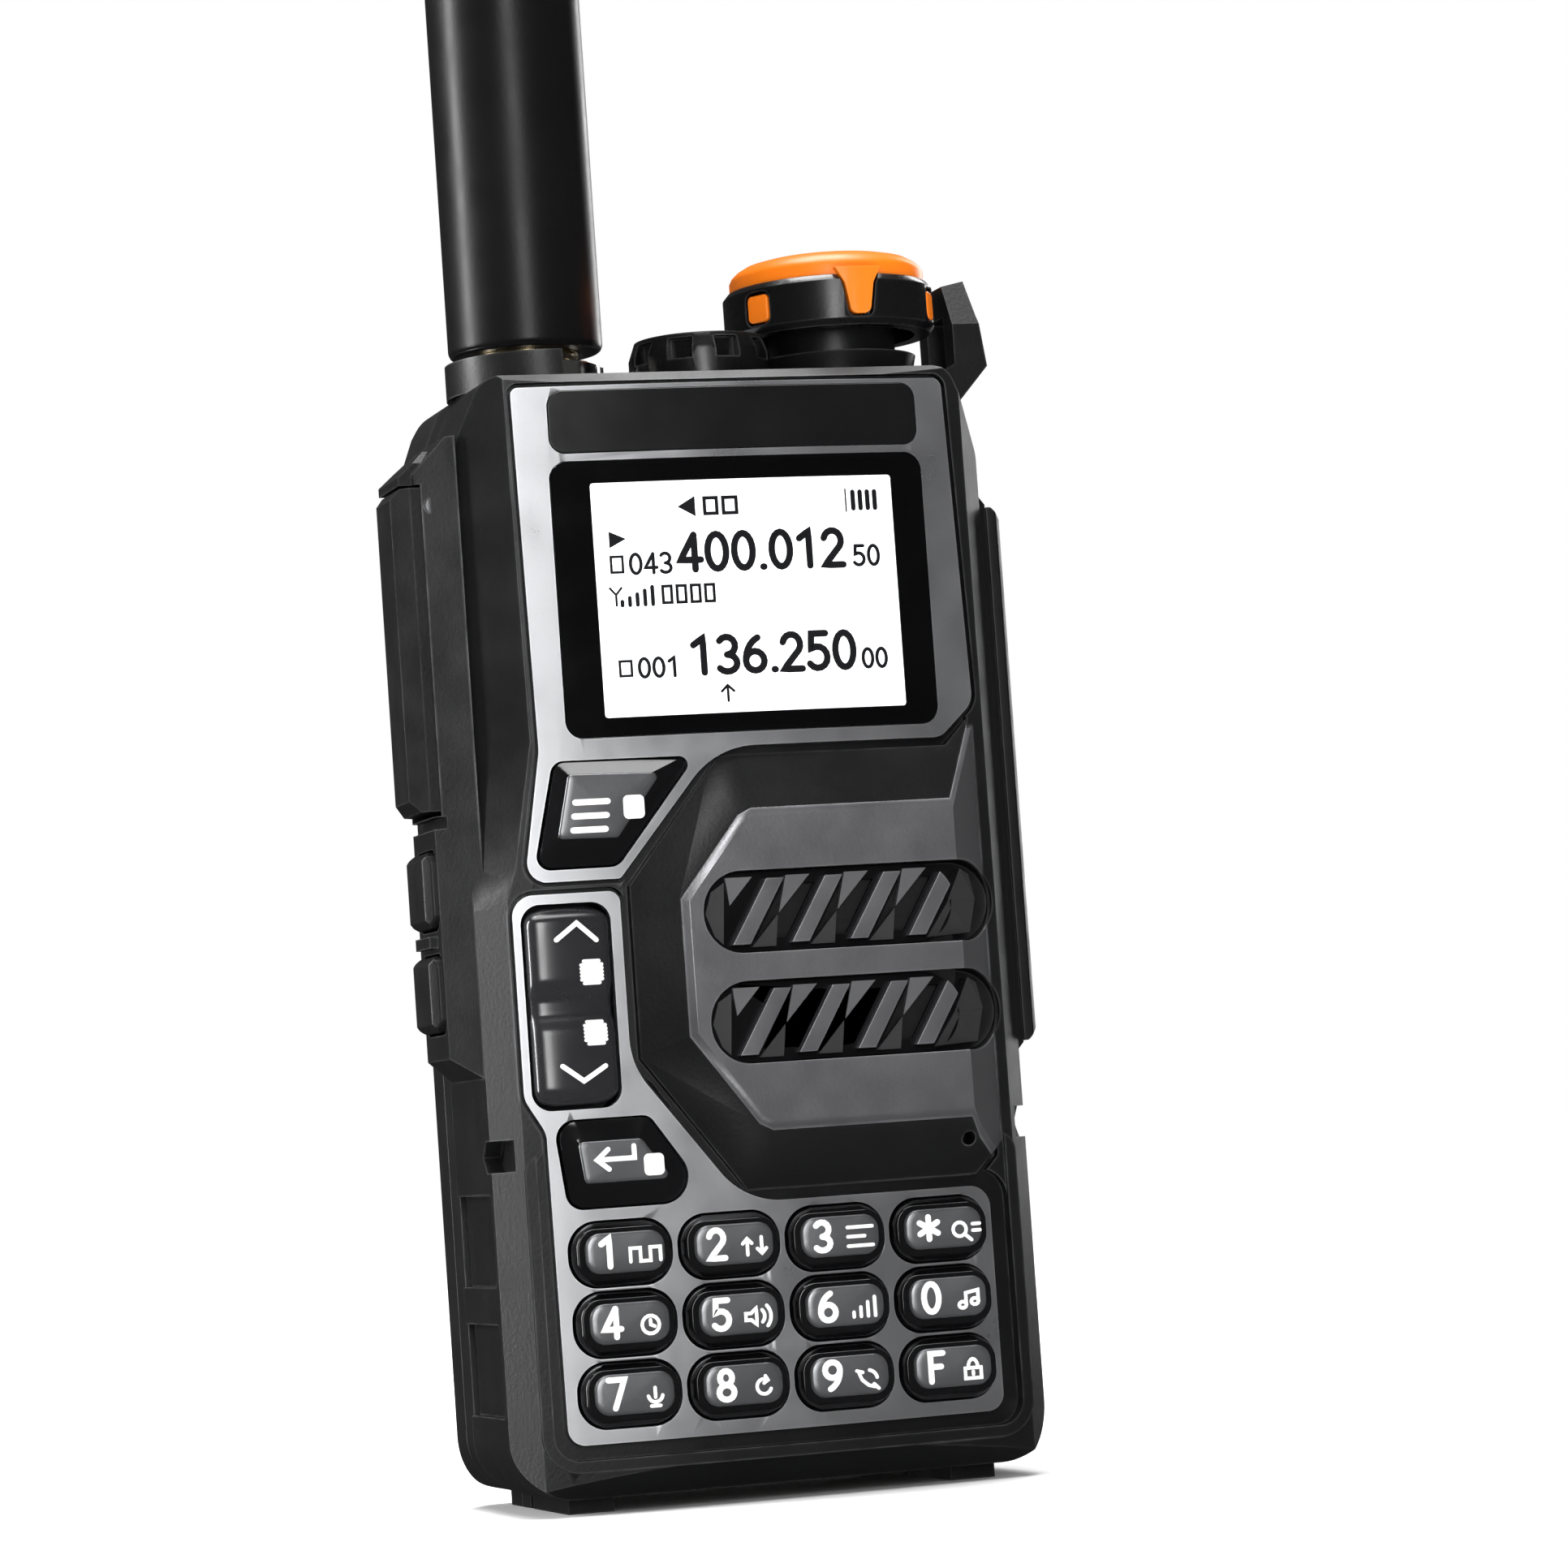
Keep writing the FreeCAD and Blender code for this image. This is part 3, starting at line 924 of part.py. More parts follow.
# ---- everything ---------------------------------------------------------------------------------
def nodes():
    """Every part by name, in the modelling frame."""
    parts = {
        "front_shell": front_shell(), "rear_frame": rear_frame(), "body_screws": body_screws(),
        "upper_bezel": upper_bezel(), "lower_bezel": lower_bezel(),
        "name_plate": bowed(NAME_PLATE, -0.15, 0.65), "display_window": bowed(WINDOW, -0.25, 0.8),
        "lcd_panel": prism(lcd_outline(0), 1.75, 3.9), "backlight": backlight(),
        "speaker_grille": grille(), "speaker_mesh": speaker_mesh(), "speaker_driver": speaker_driver(),
        "microphone": microphone(), "main_board": main_board(), "side_board": side_board(),
        "key_membrane": key_membrane(), "key_updown": rocker_key(), "rocker_pin": rocker_pin(),
        "key_menu": key(M_HOLE, M_TOP, 15.5), "key_exit": key(EXIT_HOLE, EXIT_TOP, 16.5),
        "ptt_bar": talk_bar(), "ptt_pin": talk_bar_pin(),
        "side_key_upper": side_key(SIDE_KEY_Z[1]), "side_key_lower": side_key(SIDE_KEY_Z[0]),
        "socket_cover": socket_cover(), "cover_pin": cover_pin(), "headset_jacks": headset_jacks(),
        "usb_port": usb_port(),
        "antenna_sleeve": antenna_sleeve(), "antenna_plug": antenna_plug(), "antenna_core": antenna_core(),
        "antenna_socket": antenna_socket(), "antenna_nut": antenna_nut(),
        "torch_ring": torch_ring(), "torch_reflector": torch_reflector(), "torch_lens": torch_lens(),
        "knob_skirt": knob_skirt(), "knob_cap": knob_cap(), "knob_inserts": knob_inserts(),
        "knob_shaft": knob_shaft(), "volume_control": volume_control(),
        "battery_case": battery_case(), "battery_lid": battery_lid(), "battery_cells": battery_cells(),
        "battery_contacts": battery_contacts(), "battery_latch": battery_latch(),
        "belt_clip": belt_clip(), "clip_pin": clip_pin(),
    }
    for name, x, z in key_centres():
        parts["key_" + name] = number_key(x, z)
    return parts


def row_shift(parts):
    """The move from the modelling frame to the row frame."""
    bounds = FreeCAD.BoundBox()
    for shape in parts.values():
        bounds.add(shape.BoundBox)
    return V(-bounds.Center.x, -bounds.Center.y, -bounds.ZMin)


def write_all():
    os.makedirs("parts", exist_ok=True)
    parts = nodes()
    shift = row_shift(parts)
    for name, shape in parts.items():
        shape.translate(shift)
        shape.exportStep("parts/" + name + ".step")


if __name__ == "__main__":
    write_all()
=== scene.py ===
"""Looks for the handheld aviation radio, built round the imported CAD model.

Lengths in the code below are millimetres in the CAD source's modelling frame: X to the right, Y into the
depth from the middle of the front face, Z up from the body's bottom edge.  at() turns them into row metres.
"""

import math

import bmesh
import bpy
from mathutils import Matrix, Vector


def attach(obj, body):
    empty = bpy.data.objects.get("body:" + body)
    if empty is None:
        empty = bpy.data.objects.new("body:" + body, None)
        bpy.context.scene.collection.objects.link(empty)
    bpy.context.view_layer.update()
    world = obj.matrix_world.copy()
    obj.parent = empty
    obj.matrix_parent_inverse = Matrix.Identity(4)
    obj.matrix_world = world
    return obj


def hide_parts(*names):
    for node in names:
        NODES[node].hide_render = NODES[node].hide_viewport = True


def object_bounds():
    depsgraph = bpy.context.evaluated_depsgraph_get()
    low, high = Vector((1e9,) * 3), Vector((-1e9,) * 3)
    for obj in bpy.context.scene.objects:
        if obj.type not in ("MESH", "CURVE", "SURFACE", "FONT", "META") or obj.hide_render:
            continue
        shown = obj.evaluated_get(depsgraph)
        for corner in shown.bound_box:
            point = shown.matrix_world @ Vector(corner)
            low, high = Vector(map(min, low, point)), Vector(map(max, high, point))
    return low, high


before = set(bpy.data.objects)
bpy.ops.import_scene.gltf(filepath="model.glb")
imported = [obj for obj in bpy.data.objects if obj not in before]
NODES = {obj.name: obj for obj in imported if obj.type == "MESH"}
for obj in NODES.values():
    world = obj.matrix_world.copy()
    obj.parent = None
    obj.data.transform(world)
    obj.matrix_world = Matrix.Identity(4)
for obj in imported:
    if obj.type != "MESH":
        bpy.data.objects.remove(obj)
cad_low, cad_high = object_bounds()
TALK_BAR_REACH = 33.6       # how far the talk bar stands out to the left of the middle
DOME_RISE = 2.4             # how far the speaker dome stands out in front
FOOT_HEIGHT = 2.4
SHIFT = Vector((cad_low.x * 1000 + TALK_BAR_REACH, cad_low.y * 1000 + DOME_RISE, FOOT_HEIGHT))
BOW_R = 240.0               # radius of the bowed front face


def at(x, y, z):
    """A point of the modelling frame in row metres."""
    return (Vector((x, y, z)) + SHIFT) * 0.001


def bow(x):
    """Depth of the front face at a distance from the middle."""
    return BOW_R - math.sqrt(BOW_R * BOW_R - x * x)


# ---- materials ----------------------------------------------------------------------------------
def new_material(name):
    material = bpy.data.materials.new(name)
    material.use_nodes = True
    tree = material.node_tree
    tree.nodes.clear()
    out = tree.nodes.new("ShaderNodeOutputMaterial")
    shader = tree.nodes.new("ShaderNodeBsdfPrincipled")
    tree.links.new(shader.outputs[0], out.inputs[0])
    return material, tree, shader


def noise(tree, coords, scale, detail=3.0, stretch=None):
    if stretch:
        mapping = tree.nodes.new("ShaderNodeMapping")
        mapping.inputs["Scale"].default_value = stretch
        tree.links.new(coords, mapping.inputs[0])
        coords = mapping.outputs[0]
    node = tree.nodes.new("ShaderNodeTexNoise")
    node.inputs["Scale"].default_value = scale
    node.inputs["Detail"].default_value = detail
    tree.links.new(coords, node.inputs["Vector"])
    return node.outputs["Fac"]


def ranged(tree, value, low, high, to_low, to_high):
    node = tree.nodes.new("ShaderNodeMapRange")
    tree.links.new(value, node.inputs[0])
    for i, number in enumerate((low, high, to_low, to_high)):
        node.inputs[i + 1].default_value = number
    return node.outputs[0]


def mixed(tree, factor, first, second):
    node = tree.nodes.new("ShaderNodeMix")
    node.data_type = "RGBA"
    for slot, value in ((0, factor), (6, first), (7, second)):
        if isinstance(value, (tuple, list)):
            node.inputs[slot].default_value = (*value, 1.0)
        else:
            tree.links.new(value, node.inputs[slot])
    return node.outputs[2]


FLAT_ENOUGH = 0.995         # cosine between the true and the rounded normal where the painted edge highlight starts
EDGE_RADIUS = 0.00035       # metres


def edge_mask(tree, radius, strength):
    """Near 1 along sharp edges and 0 on flat faces."""
    bevel = tree.nodes.new("ShaderNodeBevel")
    bevel.samples = 4
    bevel.inputs["Radius"].default_value = radius
    geometry = tree.nodes.new("ShaderNodeNewGeometry")
    dot = tree.nodes.new("ShaderNodeVectorMath")
    dot.operation = "DOT_PRODUCT"
    tree.links.new(bevel.outputs[0], dot.inputs[0])
    tree.links.new(geometry.outputs["Normal"], dot.inputs[1])
    return ranged(tree, dot.outputs["Value"], FLAT_ENOUGH, FLAT_ENOUGH - 0.25 / strength, 0.0, 1.0)


def times(tree, first, second):
    node = tree.nodes.new("ShaderNodeMath")
    node.operation = "MULTIPLY"
    tree.links.new(first, node.inputs[0])
    tree.links.new(second, node.inputs[1])
    return node.outputs[0]


def surface(name, color, rough, metallic=0.0, tint=0.10, patch=60.0, grain=2400.0, bump=0.10, spread=0.06,
            coat=0.0, specular=0.5, painted_edge_light=0.0, painted_edge_color=(1.0, 1.0, 1.0), brushed=None, emission=0.0):
    """A finish with slow colour changes, fine grain in the surface, uneven gloss and patchy painted
    highlights along sharp edges.
    """
    material, tree, shader = new_material(name)
    coords = tree.nodes.new("ShaderNodeTexCoord").outputs["Object"]
    slow = noise(tree, coords, patch, 4.0)
    light = tuple(min(1.0, c * (1 + tint)) for c in color)
    dark = tuple(c * (1 - tint) for c in color)
    colour = mixed(tree, ranged(tree, slow, 0.3, 0.7, 0.0, 1.0), dark, light)
    fine = noise(tree, coords, grain, 2.0, brushed)
    speck = noise(tree, coords, grain * 0.4, 2.0)
    specked = tuple(c * (1 - 1.6 * tint) for c in color)
    colour = mixed(tree, ranged(tree, speck, 0.55, 0.75, 0.0, 0.35), colour, specked)
    # painted highlight: a patchy lighter colour along sharp edges, standing in for the light that rounded
    # edges catch
    if painted_edge_light:
        highlight_patches = ranged(tree, noise(tree, coords, 260.0, 4.0), 0.35, 0.7, 0.25, 1.0)
        colour = mixed(tree, times(tree, edge_mask(tree, EDGE_RADIUS, painted_edge_light), highlight_patches), colour, painted_edge_color)
    tree.links.new(colour, shader.inputs["Base Color"])
    gloss = noise(tree, coords, 190.0, 5.0)
    uneven = ranged(tree, gloss, 0.25, 0.75, max(0.02, rough - spread), rough + spread)
    tree.links.new(uneven, shader.inputs["Roughness"])
    height = tree.nodes.new("ShaderNodeBump")
    height.inputs["Strength"].default_value = bump
    height.inputs["Distance"].default_value = 0.00005
    tree.links.new(fine, height.inputs["Height"])
    tree.links.new(height.outputs[0], shader.inputs["Normal"])
    shader.inputs["Metallic"].default_value = metallic
    shader.inputs["Coat Weight"].default_value = coat
    shader.inputs["Coat Roughness"].default_value = 0.12
    shader.inputs["Specular IOR Level"].default_value = specular
    if emission:
        shader.inputs["Emission Color"].default_value = (*color, 1.0)
        shader.inputs["Emission Strength"].default_value = emission
    return material


SLOT_FLOOR, FLANK_X = -1.22, 20.5


def grille_finish():
    """Metallic paint on the plate and the bars; what lies deeper in the slots, left of the flank, is painted
    near black as shade.
    """
    material = surface("grille_paint", (0.23, 0.23, 0.24), 0.36, 0.85, tint=0.06, grain=3200.0, bump=0.22,
                       painted_edge_light=1.0, painted_edge_color=(0.5, 0.5, 0.52))
    tree = material.node_tree
    shader = next(n for n in tree.nodes if n.type == "BSDF_PRINCIPLED")
    coords = tree.nodes.new("ShaderNodeTexCoord").outputs["Object"]
    split = tree.nodes.new("ShaderNodeSeparateXYZ")
    tree.links.new(coords, split.inputs[0])
    slot_floor = at(0, SLOT_FLOOR, 0).y
    deep = ranged(tree, split.outputs[1], slot_floor, slot_floor + 0.00005, 0.0, 1.0)
    left_of_flank = ranged(tree, split.outputs[0], at(FLANK_X, 0, 0).x, at(FLANK_X + 0.1, 0, 0).x, 1.0, 0.0)
    paint = shader.inputs["Base Color"].links[0].from_socket
    # painted shade: the slots' deeper parts are coloured near black
    painted_slot_shade = mixed(tree, times(tree, deep, left_of_flank), paint, (0.008, 0.008, 0.009))
    tree.links.new(painted_slot_shade, shader.inputs["Base Color"])
    return material


# the edge colours given below are painted highlights along sharp edges
SHELL = surface("shell_plastic", (0.0062, 0.0063, 0.0067), 0.38, tint=0.12, grain=2600.0, bump=0.30,
                spread=0.07, specular=0.32, painted_edge_light=1.0, painted_edge_color=(0.085, 0.086, 0.090))
REAR = surface("rear_plastic", (0.0055, 0.0056, 0.0060), 0.42, tint=0.14, grain=2200.0, bump=0.42,
               spread=0.07, specular=0.34, painted_edge_light=1.0, painted_edge_color=(0.085, 0.085, 0.089))
BEZEL = surface("bezel_paint", (0.52, 0.525, 0.54), 0.32, 0.92, tint=0.05, grain=5300.0, bump=0.06,
                painted_edge_light=1.0, painted_edge_color=(0.85, 0.85, 0.87))
GLOSS = surface("gloss_black", (0.0018, 0.0018, 0.0020), 0.14, tint=0.25, grain=900.0, bump=0.02,
                spread=0.04, specular=0.22)
PLATE = surface("name_plate_gloss", (0.0055, 0.0055, 0.0060), 0.24, tint=0.2, grain=900.0, bump=0.02,
                spread=0.04, specular=0.5)
LCD = surface("lcd_white", (0.93, 0.94, 0.95), 0.25, tint=0.012, grain=4500.0, bump=0.02, emission=0.75,
              specular=0.3)
INK = surface("display_ink", (0.008, 0.008, 0.01), 0.5, tint=0.2, specular=0.1)
KEY_RIM = surface("key_rim_gloss", (0.0035, 0.0035, 0.0040), 0.18, tint=0.2, grain=1500.0, bump=0.05,
                  spread=0.05, coat=0.3)
# on the key faces the edge colour is darker: painted shade along the pad edges
KEY_FACE = surface("key_face", (0.20, 0.203, 0.21), 0.34, 0.80, tint=0.08, grain=2800.0, bump=0.18,
                   specular=0.5, painted_edge_light=0.8, painted_edge_color=(0.16, 0.16, 0.165))
ROCKER = surface("rocker_gloss", (0.018, 0.018, 0.020), 0.24, tint=0.1, grain=2400.0, bump=0.05, coat=0.25)
LEGEND = surface("legend_white", (0.88, 0.88, 0.87), 0.45, tint=0.02, grain=5000.0, bump=0.1)
GRILLE = grille_finish()
# one grille facet material in two tones: a painted lit copy and a painted shaded copy
FACET_PAINTED_LIT = surface("facet_painted_lit", (0.30, 0.30, 0.31), 0.4, 0.8, tint=0.06, grain=3200.0, bump=0.25)
FACET_PAINTED_SHADE = surface("facet_painted_shade", (0.060, 0.060, 0.062), 0.45, 0.6, tint=0.06, grain=3200.0, bump=0.25)
MESH = surface("speaker_cloth", (0.010, 0.010, 0.010), 0.8, tint=0.3, grain=5000.0, bump=0.8, specular=0.2)
RUBBER = surface("rubber_black", (0.0048, 0.0048, 0.0052), 0.42, tint=0.15, grain=2000.0, bump=0.35,
                 spread=0.08, specular=0.36, painted_edge_light=1.0, painted_edge_color=(0.085, 0.085, 0.089))
ANTENNA = surface("antenna_rubber", (0.0050, 0.0050, 0.0055), 0.34, tint=0.12, grain=2600.0, bump=0.16,
                  spread=0.05, specular=0.20)
KNOB = surface("knob_black", (0.0045, 0.0045, 0.0050), 0.28, tint=0.12, grain=2400.0, bump=0.12,
               specular=0.4, painted_edge_light=1.0, painted_edge_color=(0.10, 0.10, 0.105))
ORANGE = surface("knob_orange", (0.86, 0.190, 0.008), 0.38, tint=0.05, grain=2600.0, bump=0.12,
                 specular=0.30, painted_edge_light=0.7, painted_edge_color=(1.0, 0.32, 0.05))
NICKEL = surface("nickel", (0.80, 0.79, 0.77), 0.16, 1.0, tint=0.04, grain=1800.0, bump=0.10)
STEEL = surface("steel", (0.50, 0.50, 0.51), 0.30, 1.0, tint=0.06, grain=1400.0, bump=0.15,
                brushed=(1.0, 1.0, 12.0))
BRASS = surface("brass", (0.62, 0.50, 0.30), 0.28, 1.0, tint=0.08, grain=1600.0, bump=0.12)
LENS = surface("torch_lens", (0.78, 0.82, 0.86), 0.08, tint=0.03, grain=900.0, bump=0.03, coat=0.6)
BOARD = surface("board_green", (0.02, 0.11, 0.05), 0.35, tint=0.2, grain=1200.0, bump=0.2)
DARK = surface("dark_metal", (0.08, 0.08, 0.085), 0.4, 0.8, tint=0.1)
WHITE = surface("white_plastic", (0.78, 0.78, 0.77), 0.4, tint=0.04)
CELLS = surface("cell_wrap", (0.05, 0.13, 0.32), 0.3, tint=0.1, coat=0.3)

FINISHES = {
    "front_shell": SHELL, "rear_frame": REAR, "body_screws": STEEL, "upper_bezel": BEZEL,
    "lower_bezel": BEZEL, "name_plate": PLATE, "display_window": GLOSS, "lcd_panel": WHITE,
    "backlight": WHITE, "speaker_grille": GRILLE, "speaker_mesh": MESH, "speaker_driver": DARK,
    "microphone": DARK, "main_board": BOARD, "side_board": BOARD, "key_membrane": RUBBER,
    "key_updown": ROCKER, "rocker_pin": STEEL, "ptt_bar": RUBBER, "ptt_pin": STEEL,
    "side_key_upper": RUBBER, "side_key_lower": RUBBER, "socket_cover": RUBBER, "cover_pin": STEEL,
    "headset_jacks": DARK, "usb_port": STEEL, "antenna_sleeve": ANTENNA, "antenna_plug": BRASS,
    "antenna_core": WHITE, "antenna_socket": BRASS, "antenna_nut": NICKEL, "torch_ring": KNOB,
    "torch_reflector": NICKEL, "torch_lens": LENS, "knob_skirt": KNOB, "knob_cap": ORANGE,
    "knob_inserts": ORANGE, "knob_shaft": BRASS, "volume_control": DARK, "battery_case": REAR,
    "battery_lid": REAR, "battery_cells": CELLS, "battery_contacts": BRASS, "battery_latch": RUBBER,
    "belt_clip": REAR, "clip_pin": STEEL,
}
# how far each node's sharp edges are rounded, in mm
BEVELS = {
    "front_shell": 0.36, "rear_frame": 0.40, "upper_bezel": 0.16, "lower_bezel": 0.13, "name_plate": 0.12,
    "ptt_bar": 0.45, "side_key_upper": 0.4, "side_key_lower": 0.4, "socket_cover": 0.3, "torch_ring": 0.2,
    "knob_skirt": 0.25, "knob_cap": 0.35, "knob_inserts": 0.2, "battery_case": 0.4, "battery_lid": 0.2,
    "battery_latch": 0.2, "belt_clip": 0.3, "speaker_grille": 0.14, "antenna_sleeve": 0.3,
    "antenna_nut": 0.2,
}
KEY_BEVEL = 0.3


def finish_node(name, material):
    """Gives a CAD node its material and, where it shows, rounded edges."""
    node = NODES[name]
    node.data.materials.clear()
    node.data.materials.append(material)
    for polygon in node.data.polygons:
        polygon.use_smooth = True
    if name in BEVELS:
        weld = node.modifiers.new("weld", "WELD")
        weld.merge_threshold = 0.000002
        flat = node.modifiers.new("flat", "DECIMATE")
        flat.decimate_type = "DISSOLVE"
        flat.angle_limit = math.radians(0.2)
        bevel = node.modifiers.new("bevel", "BEVEL")
        bevel.width = BEVELS[name] * 0.001
        bevel.segments = 2
        bevel.limit_method = "ANGLE"
        bevel.angle_limit = math.radians(28)
        bevel.use_clamp_overlap = True
        bevel.miter_outer = "MITER_ARC"
        shade = node.modifiers.new("shade", "WEIGHTED_NORMAL")
        shade.keep_sharp = False
        shade.weight = 60


for node_name in NODES:
    if node_name.startswith("key_") and node_name not in FINISHES:
        BEVELS[node_name] = KEY_BEVEL
    finish_node(node_name, FINISHES.get(node_name, KEY_RIM))


# ---- building pieces ----------------------------------------------------------------------------
def add_mesh(name, bm, body, material, smooth=True):
    """Makes a piece from millimetre geometry and lets it ride on a body."""
    bmesh.ops.recalc_face_normals(bm, faces=bm.faces)
    mesh = bpy.data.meshes.new(name)
    for vert in bm.verts:
        vert.co = at(*vert.co)
    bm.to_mesh(mesh)
    bm.free()
    for polygon in mesh.polygons:
        polygon.use_smooth = smooth
    piece = bpy.data.objects.new(name, mesh)
    bpy.context.scene.collection.objects.link(piece)
    mesh.materials.append(material)
    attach(piece, body)
    return piece


def rounded(corners, steps=6):
    """Points along a closed outline of (x, z, corner radius)."""
    points = []
    for i, (x, z, radius) in enumerate(corners):
        here = Vector((x, z))
        if radius <= 0:
            points.append(here)
            continue
        back = (Vector(corners[i - 1][:2]) - here).normalized()
        ahead = (Vector(corners[(i + 1) % len(corners)][:2]) - here).normalized()
        half = back.angle(ahead) / 2
        centre = here + (back + ahead).normalized() * (radius / math.sin(half))
        start, end = here + back * (radius / math.tan(half)), here + ahead * (radius / math.tan(half))
        for k in range(steps + 1):
            mid = start.lerp(end, k / steps) - centre
            points.append(centre + mid.normalized() * radius)
    return points


def centred(x, z, width, height, radius):
    """The corners of a rounded rectangle round its middle."""
    a, b, c, d = x - width / 2, x + width / 2, z - height / 2, z + height / 2
    return [(a, d, radius), (a, c, radius), (b, c, radius), (b, d, radius)]


def flat_plate(loops, front, back):
    """A plate in the XZ plane from outlines, the later ones being holes or islands."""
    curve = bpy.data.curves.new("tmp", "CURVE")
    curve.dimensions = "2D"
    curve.fill_mode = "BOTH"
    curve.extrude = abs(back - front) / 2
    for loop in loops:
        spline = curve.splines.new("POLY")
        spline.points.add(len(loop) - 1)
        for point, (x, z) in zip(spline.points, loop):
            point.co = (x, z, 0, 1)
        spline.use_cyclic_u = True
    return curve_mesh(curve, (front + back) / 2)


def curve_mesh(curve, depth):
    """The mesh of a flat curve, turned to face the front at a depth."""
    holder = bpy.data.objects.new("tmp", curve)
    bpy.context.scene.collection.objects.link(holder)
    bpy.context.view_layer.update()
    mesh = bpy.data.meshes.new_from_object(holder.evaluated_get(bpy.context.evaluated_depsgraph_get()))
    bm = bmesh.new()
    bm.from_mesh(mesh)
    bpy.data.objects.remove(holder)
    bpy.data.curves.remove(curve)
    bpy.data.meshes.remove(mesh)
    for vert in bm.verts:
        x, z, y = vert.co
        vert.co = (x, depth - y, z)
    bmesh.ops.remove_doubles(bm, verts=bm.verts, dist=0.0005)
    return bm


def bent(bm, step=2.5):
    """Cuts a flat plate into strips and gives it the bow of the front face."""
    reach = int(30 / step)      # strips enough for the whole width of the front
    for i in range(-reach, reach + 1):
        bmesh.ops.bisect_plane(bm, geom=bm.verts[:] + bm.edges[:] + bm.faces[:], plane_co=(i * step, 0, 0),
                               plane_no=(1, 0, 0))
    for vert in bm.verts:
        vert.co.y += bow(vert.co.x)
    return bm


SAME_POINT = 1e-4           # ends nearer than this close a line
MITRE_LIMIT = 0.6           # keeps a sharp bend from running out into a spike
CAP_PIECES = 5              # straight pieces in a half-round end


def subdivided(line, step):
    """The points of a line, with more between those that are further apart than a step."""
    points = [Vector(line[0])]
    for end in line[1:]:
        run = Vector(end) - points[-1]
        if run.length > SAME_POINT / 10:
            pieces = max(1, math.ceil(run.length / step))
            start = points[-1].copy()
            points += [start + run * (k + 1) / pieces for k in range(pieces)]
    return points


def ribbon(bm, line, front, back, half, step):
    """One printed line with mitred bends and round ends, cut so that it can follow a curved face."""
    points = subdivided(line, step)
    closed = len(points) > 3 and (points[0] - points[-1]).length < SAME_POINT
    if closed:
        points.pop()
    count = len(points)
    left, right = [], []
    for i, here in enumerate(points):
        ahead = points[(i + 1) % count] - here if closed or i < count - 1 else here - points[i - 1]
        behind = here - points[i - 1] if closed or i > 0 else ahead
        a, b = ahead.normalized(), behind.normalized()
        normal = Vector((-a.y - b.y, a.x + b.x)).normalized()
        reach = half / max(MITRE_LIMIT, normal.dot(Vector((-a.y, a.x))))
        left.append(here + normal * reach)
        right.append(here - normal * reach)
    levels = []
    for depth in (front, back):
        levels.append([[bm.verts.new((p.x, depth, p.y)) for p in side] for side in (left, right)])
    for k in range(count if closed else count - 1):
        j = (k + 1) % count
        (fl, fr), (bl, br) = levels
        bm.faces.new((fl[k], fr[k], fr[j], fl[j]))
        bm.faces.new((bl[k], bl[j], br[j], br[k]))
        bm.faces.new((fl[k], fl[j], bl[j], bl[k]))
        bm.faces.new((fr[k], br[k], br[j], fr[j]))
    if closed:
        return
    for k, turn in ((0, 1), (count - 1, -1)):
        spoke = left[k] - points[k]
        rim = []
        for depth, (lefts, rights) in zip((front, back), levels):
            ring = [lefts[k]]
            for n in range(1, CAP_PIECES):
                p = points[k] + Matrix.Rotation(turn * math.pi * n / CAP_PIECES, 2) @ spoke
                ring.append(bm.verts.new((p.x, depth, p.y)))
            ring.append(rights[k])
            bm.faces.new(ring)
            rim.append(ring)
        for n in range(CAP_PIECES):
            bm.faces.new((rim[0][n], rim[0][n + 1], rim[1][n + 1], rim[1][n]))


HAIR = 0.004                # depth step between the lines of one print


def strokes(lines, front, width, thick=0.06, step=0.6):
    """Printed lines; each lies a hair above the last, so that crossings stay clean."""
    bm = bmesh.new()
    for i, line in enumerate(lines):
        ribbon(bm, line, front - HAIR * i, front + thick, width / 2, step)
    return bm


def arc(cx, cz, rx, rz, start, end, count):
    """Points along part of an ellipse, from one angle in degrees to another."""
    angles = [math.radians(start + (end - start) * k / count) for k in range(count + 1)]
    return [(cx + rx * math.cos(angle), cz + rz * math.sin(angle)) for angle in angles]


def box_line(x, z, width, height):
    """The outline of a small empty box, from its lower left corner."""
    return [(x, z), (x, z + height), (x + width, z + height), (x + width, z), (x, z)]


# each figure is a set of lines in a cell 1 high and 0.6 wide
FIGURES = {
    "0": [arc(.30, .50, .25, .45, 0, 360, 20)],
    "1": [[(.10, .77), (.36, .95), (.36, .05)]],
    "2": [arc(.29, .69, .24, .26, 165, -35, 9) + [(.05, .05), (.56, .05)]],
    "3": [arc(.27, .72, .23, .23, 145, -90, 9), arc(.27, .27, .26, .22, 90, -145, 10)],
    "4": [[(.42, .95), (.03, .30), (.58, .30)], [(.42, .05), (.42, .95)]],
    "5": [[(.52, .95), (.13, .95), (.10, .56)] + arc(.27, .33, .27, .28, 120, -145, 11)],
    "6": [arc(.30, .30, .25, .25, 0, 360, 16), arc(.61, .30, .56, .65, 180, 112, 7)],
    "7": [[(.04, .95), (.56, .95), (.22, .05)]],
    "8": [arc(.30, .73, .20, .22, 0, 360, 14), arc(.30, .27, .25, .23, 0, 360, 16)],
    "9": [arc(.30, .70, .25, .25, 0, 360, 16), arc(-.01, .70, .56, .65, 0, -68, 7)],
    "F": [[(.12, .05), (.12, .95), (.55, .95)], [(.12, .52), (.47, .52)]],
    "*": [[(.30, .98), (.30, .42)], [(.06, .84), (.54, .56)], [(.06, .56), (.54, .84)]],
    ".": [[(.09, .06), (.12, .06)]],
}
FIGURE_PITCH, POINT_PITCH = 0.72, 0.30      # in figure heights


def figures(text, x, z, height, front, width, thick=0.06):
    """A number drawn from its lower left corner."""
    lines = []
    for character in text:
        for line in FIGURES[character]:
            lines.append([(x + a * height, z + b * height) for a, b in line])
        x += height * (POINT_PITCH if character == "." else FIGURE_PITCH)
    return strokes(lines, front, width, thick)


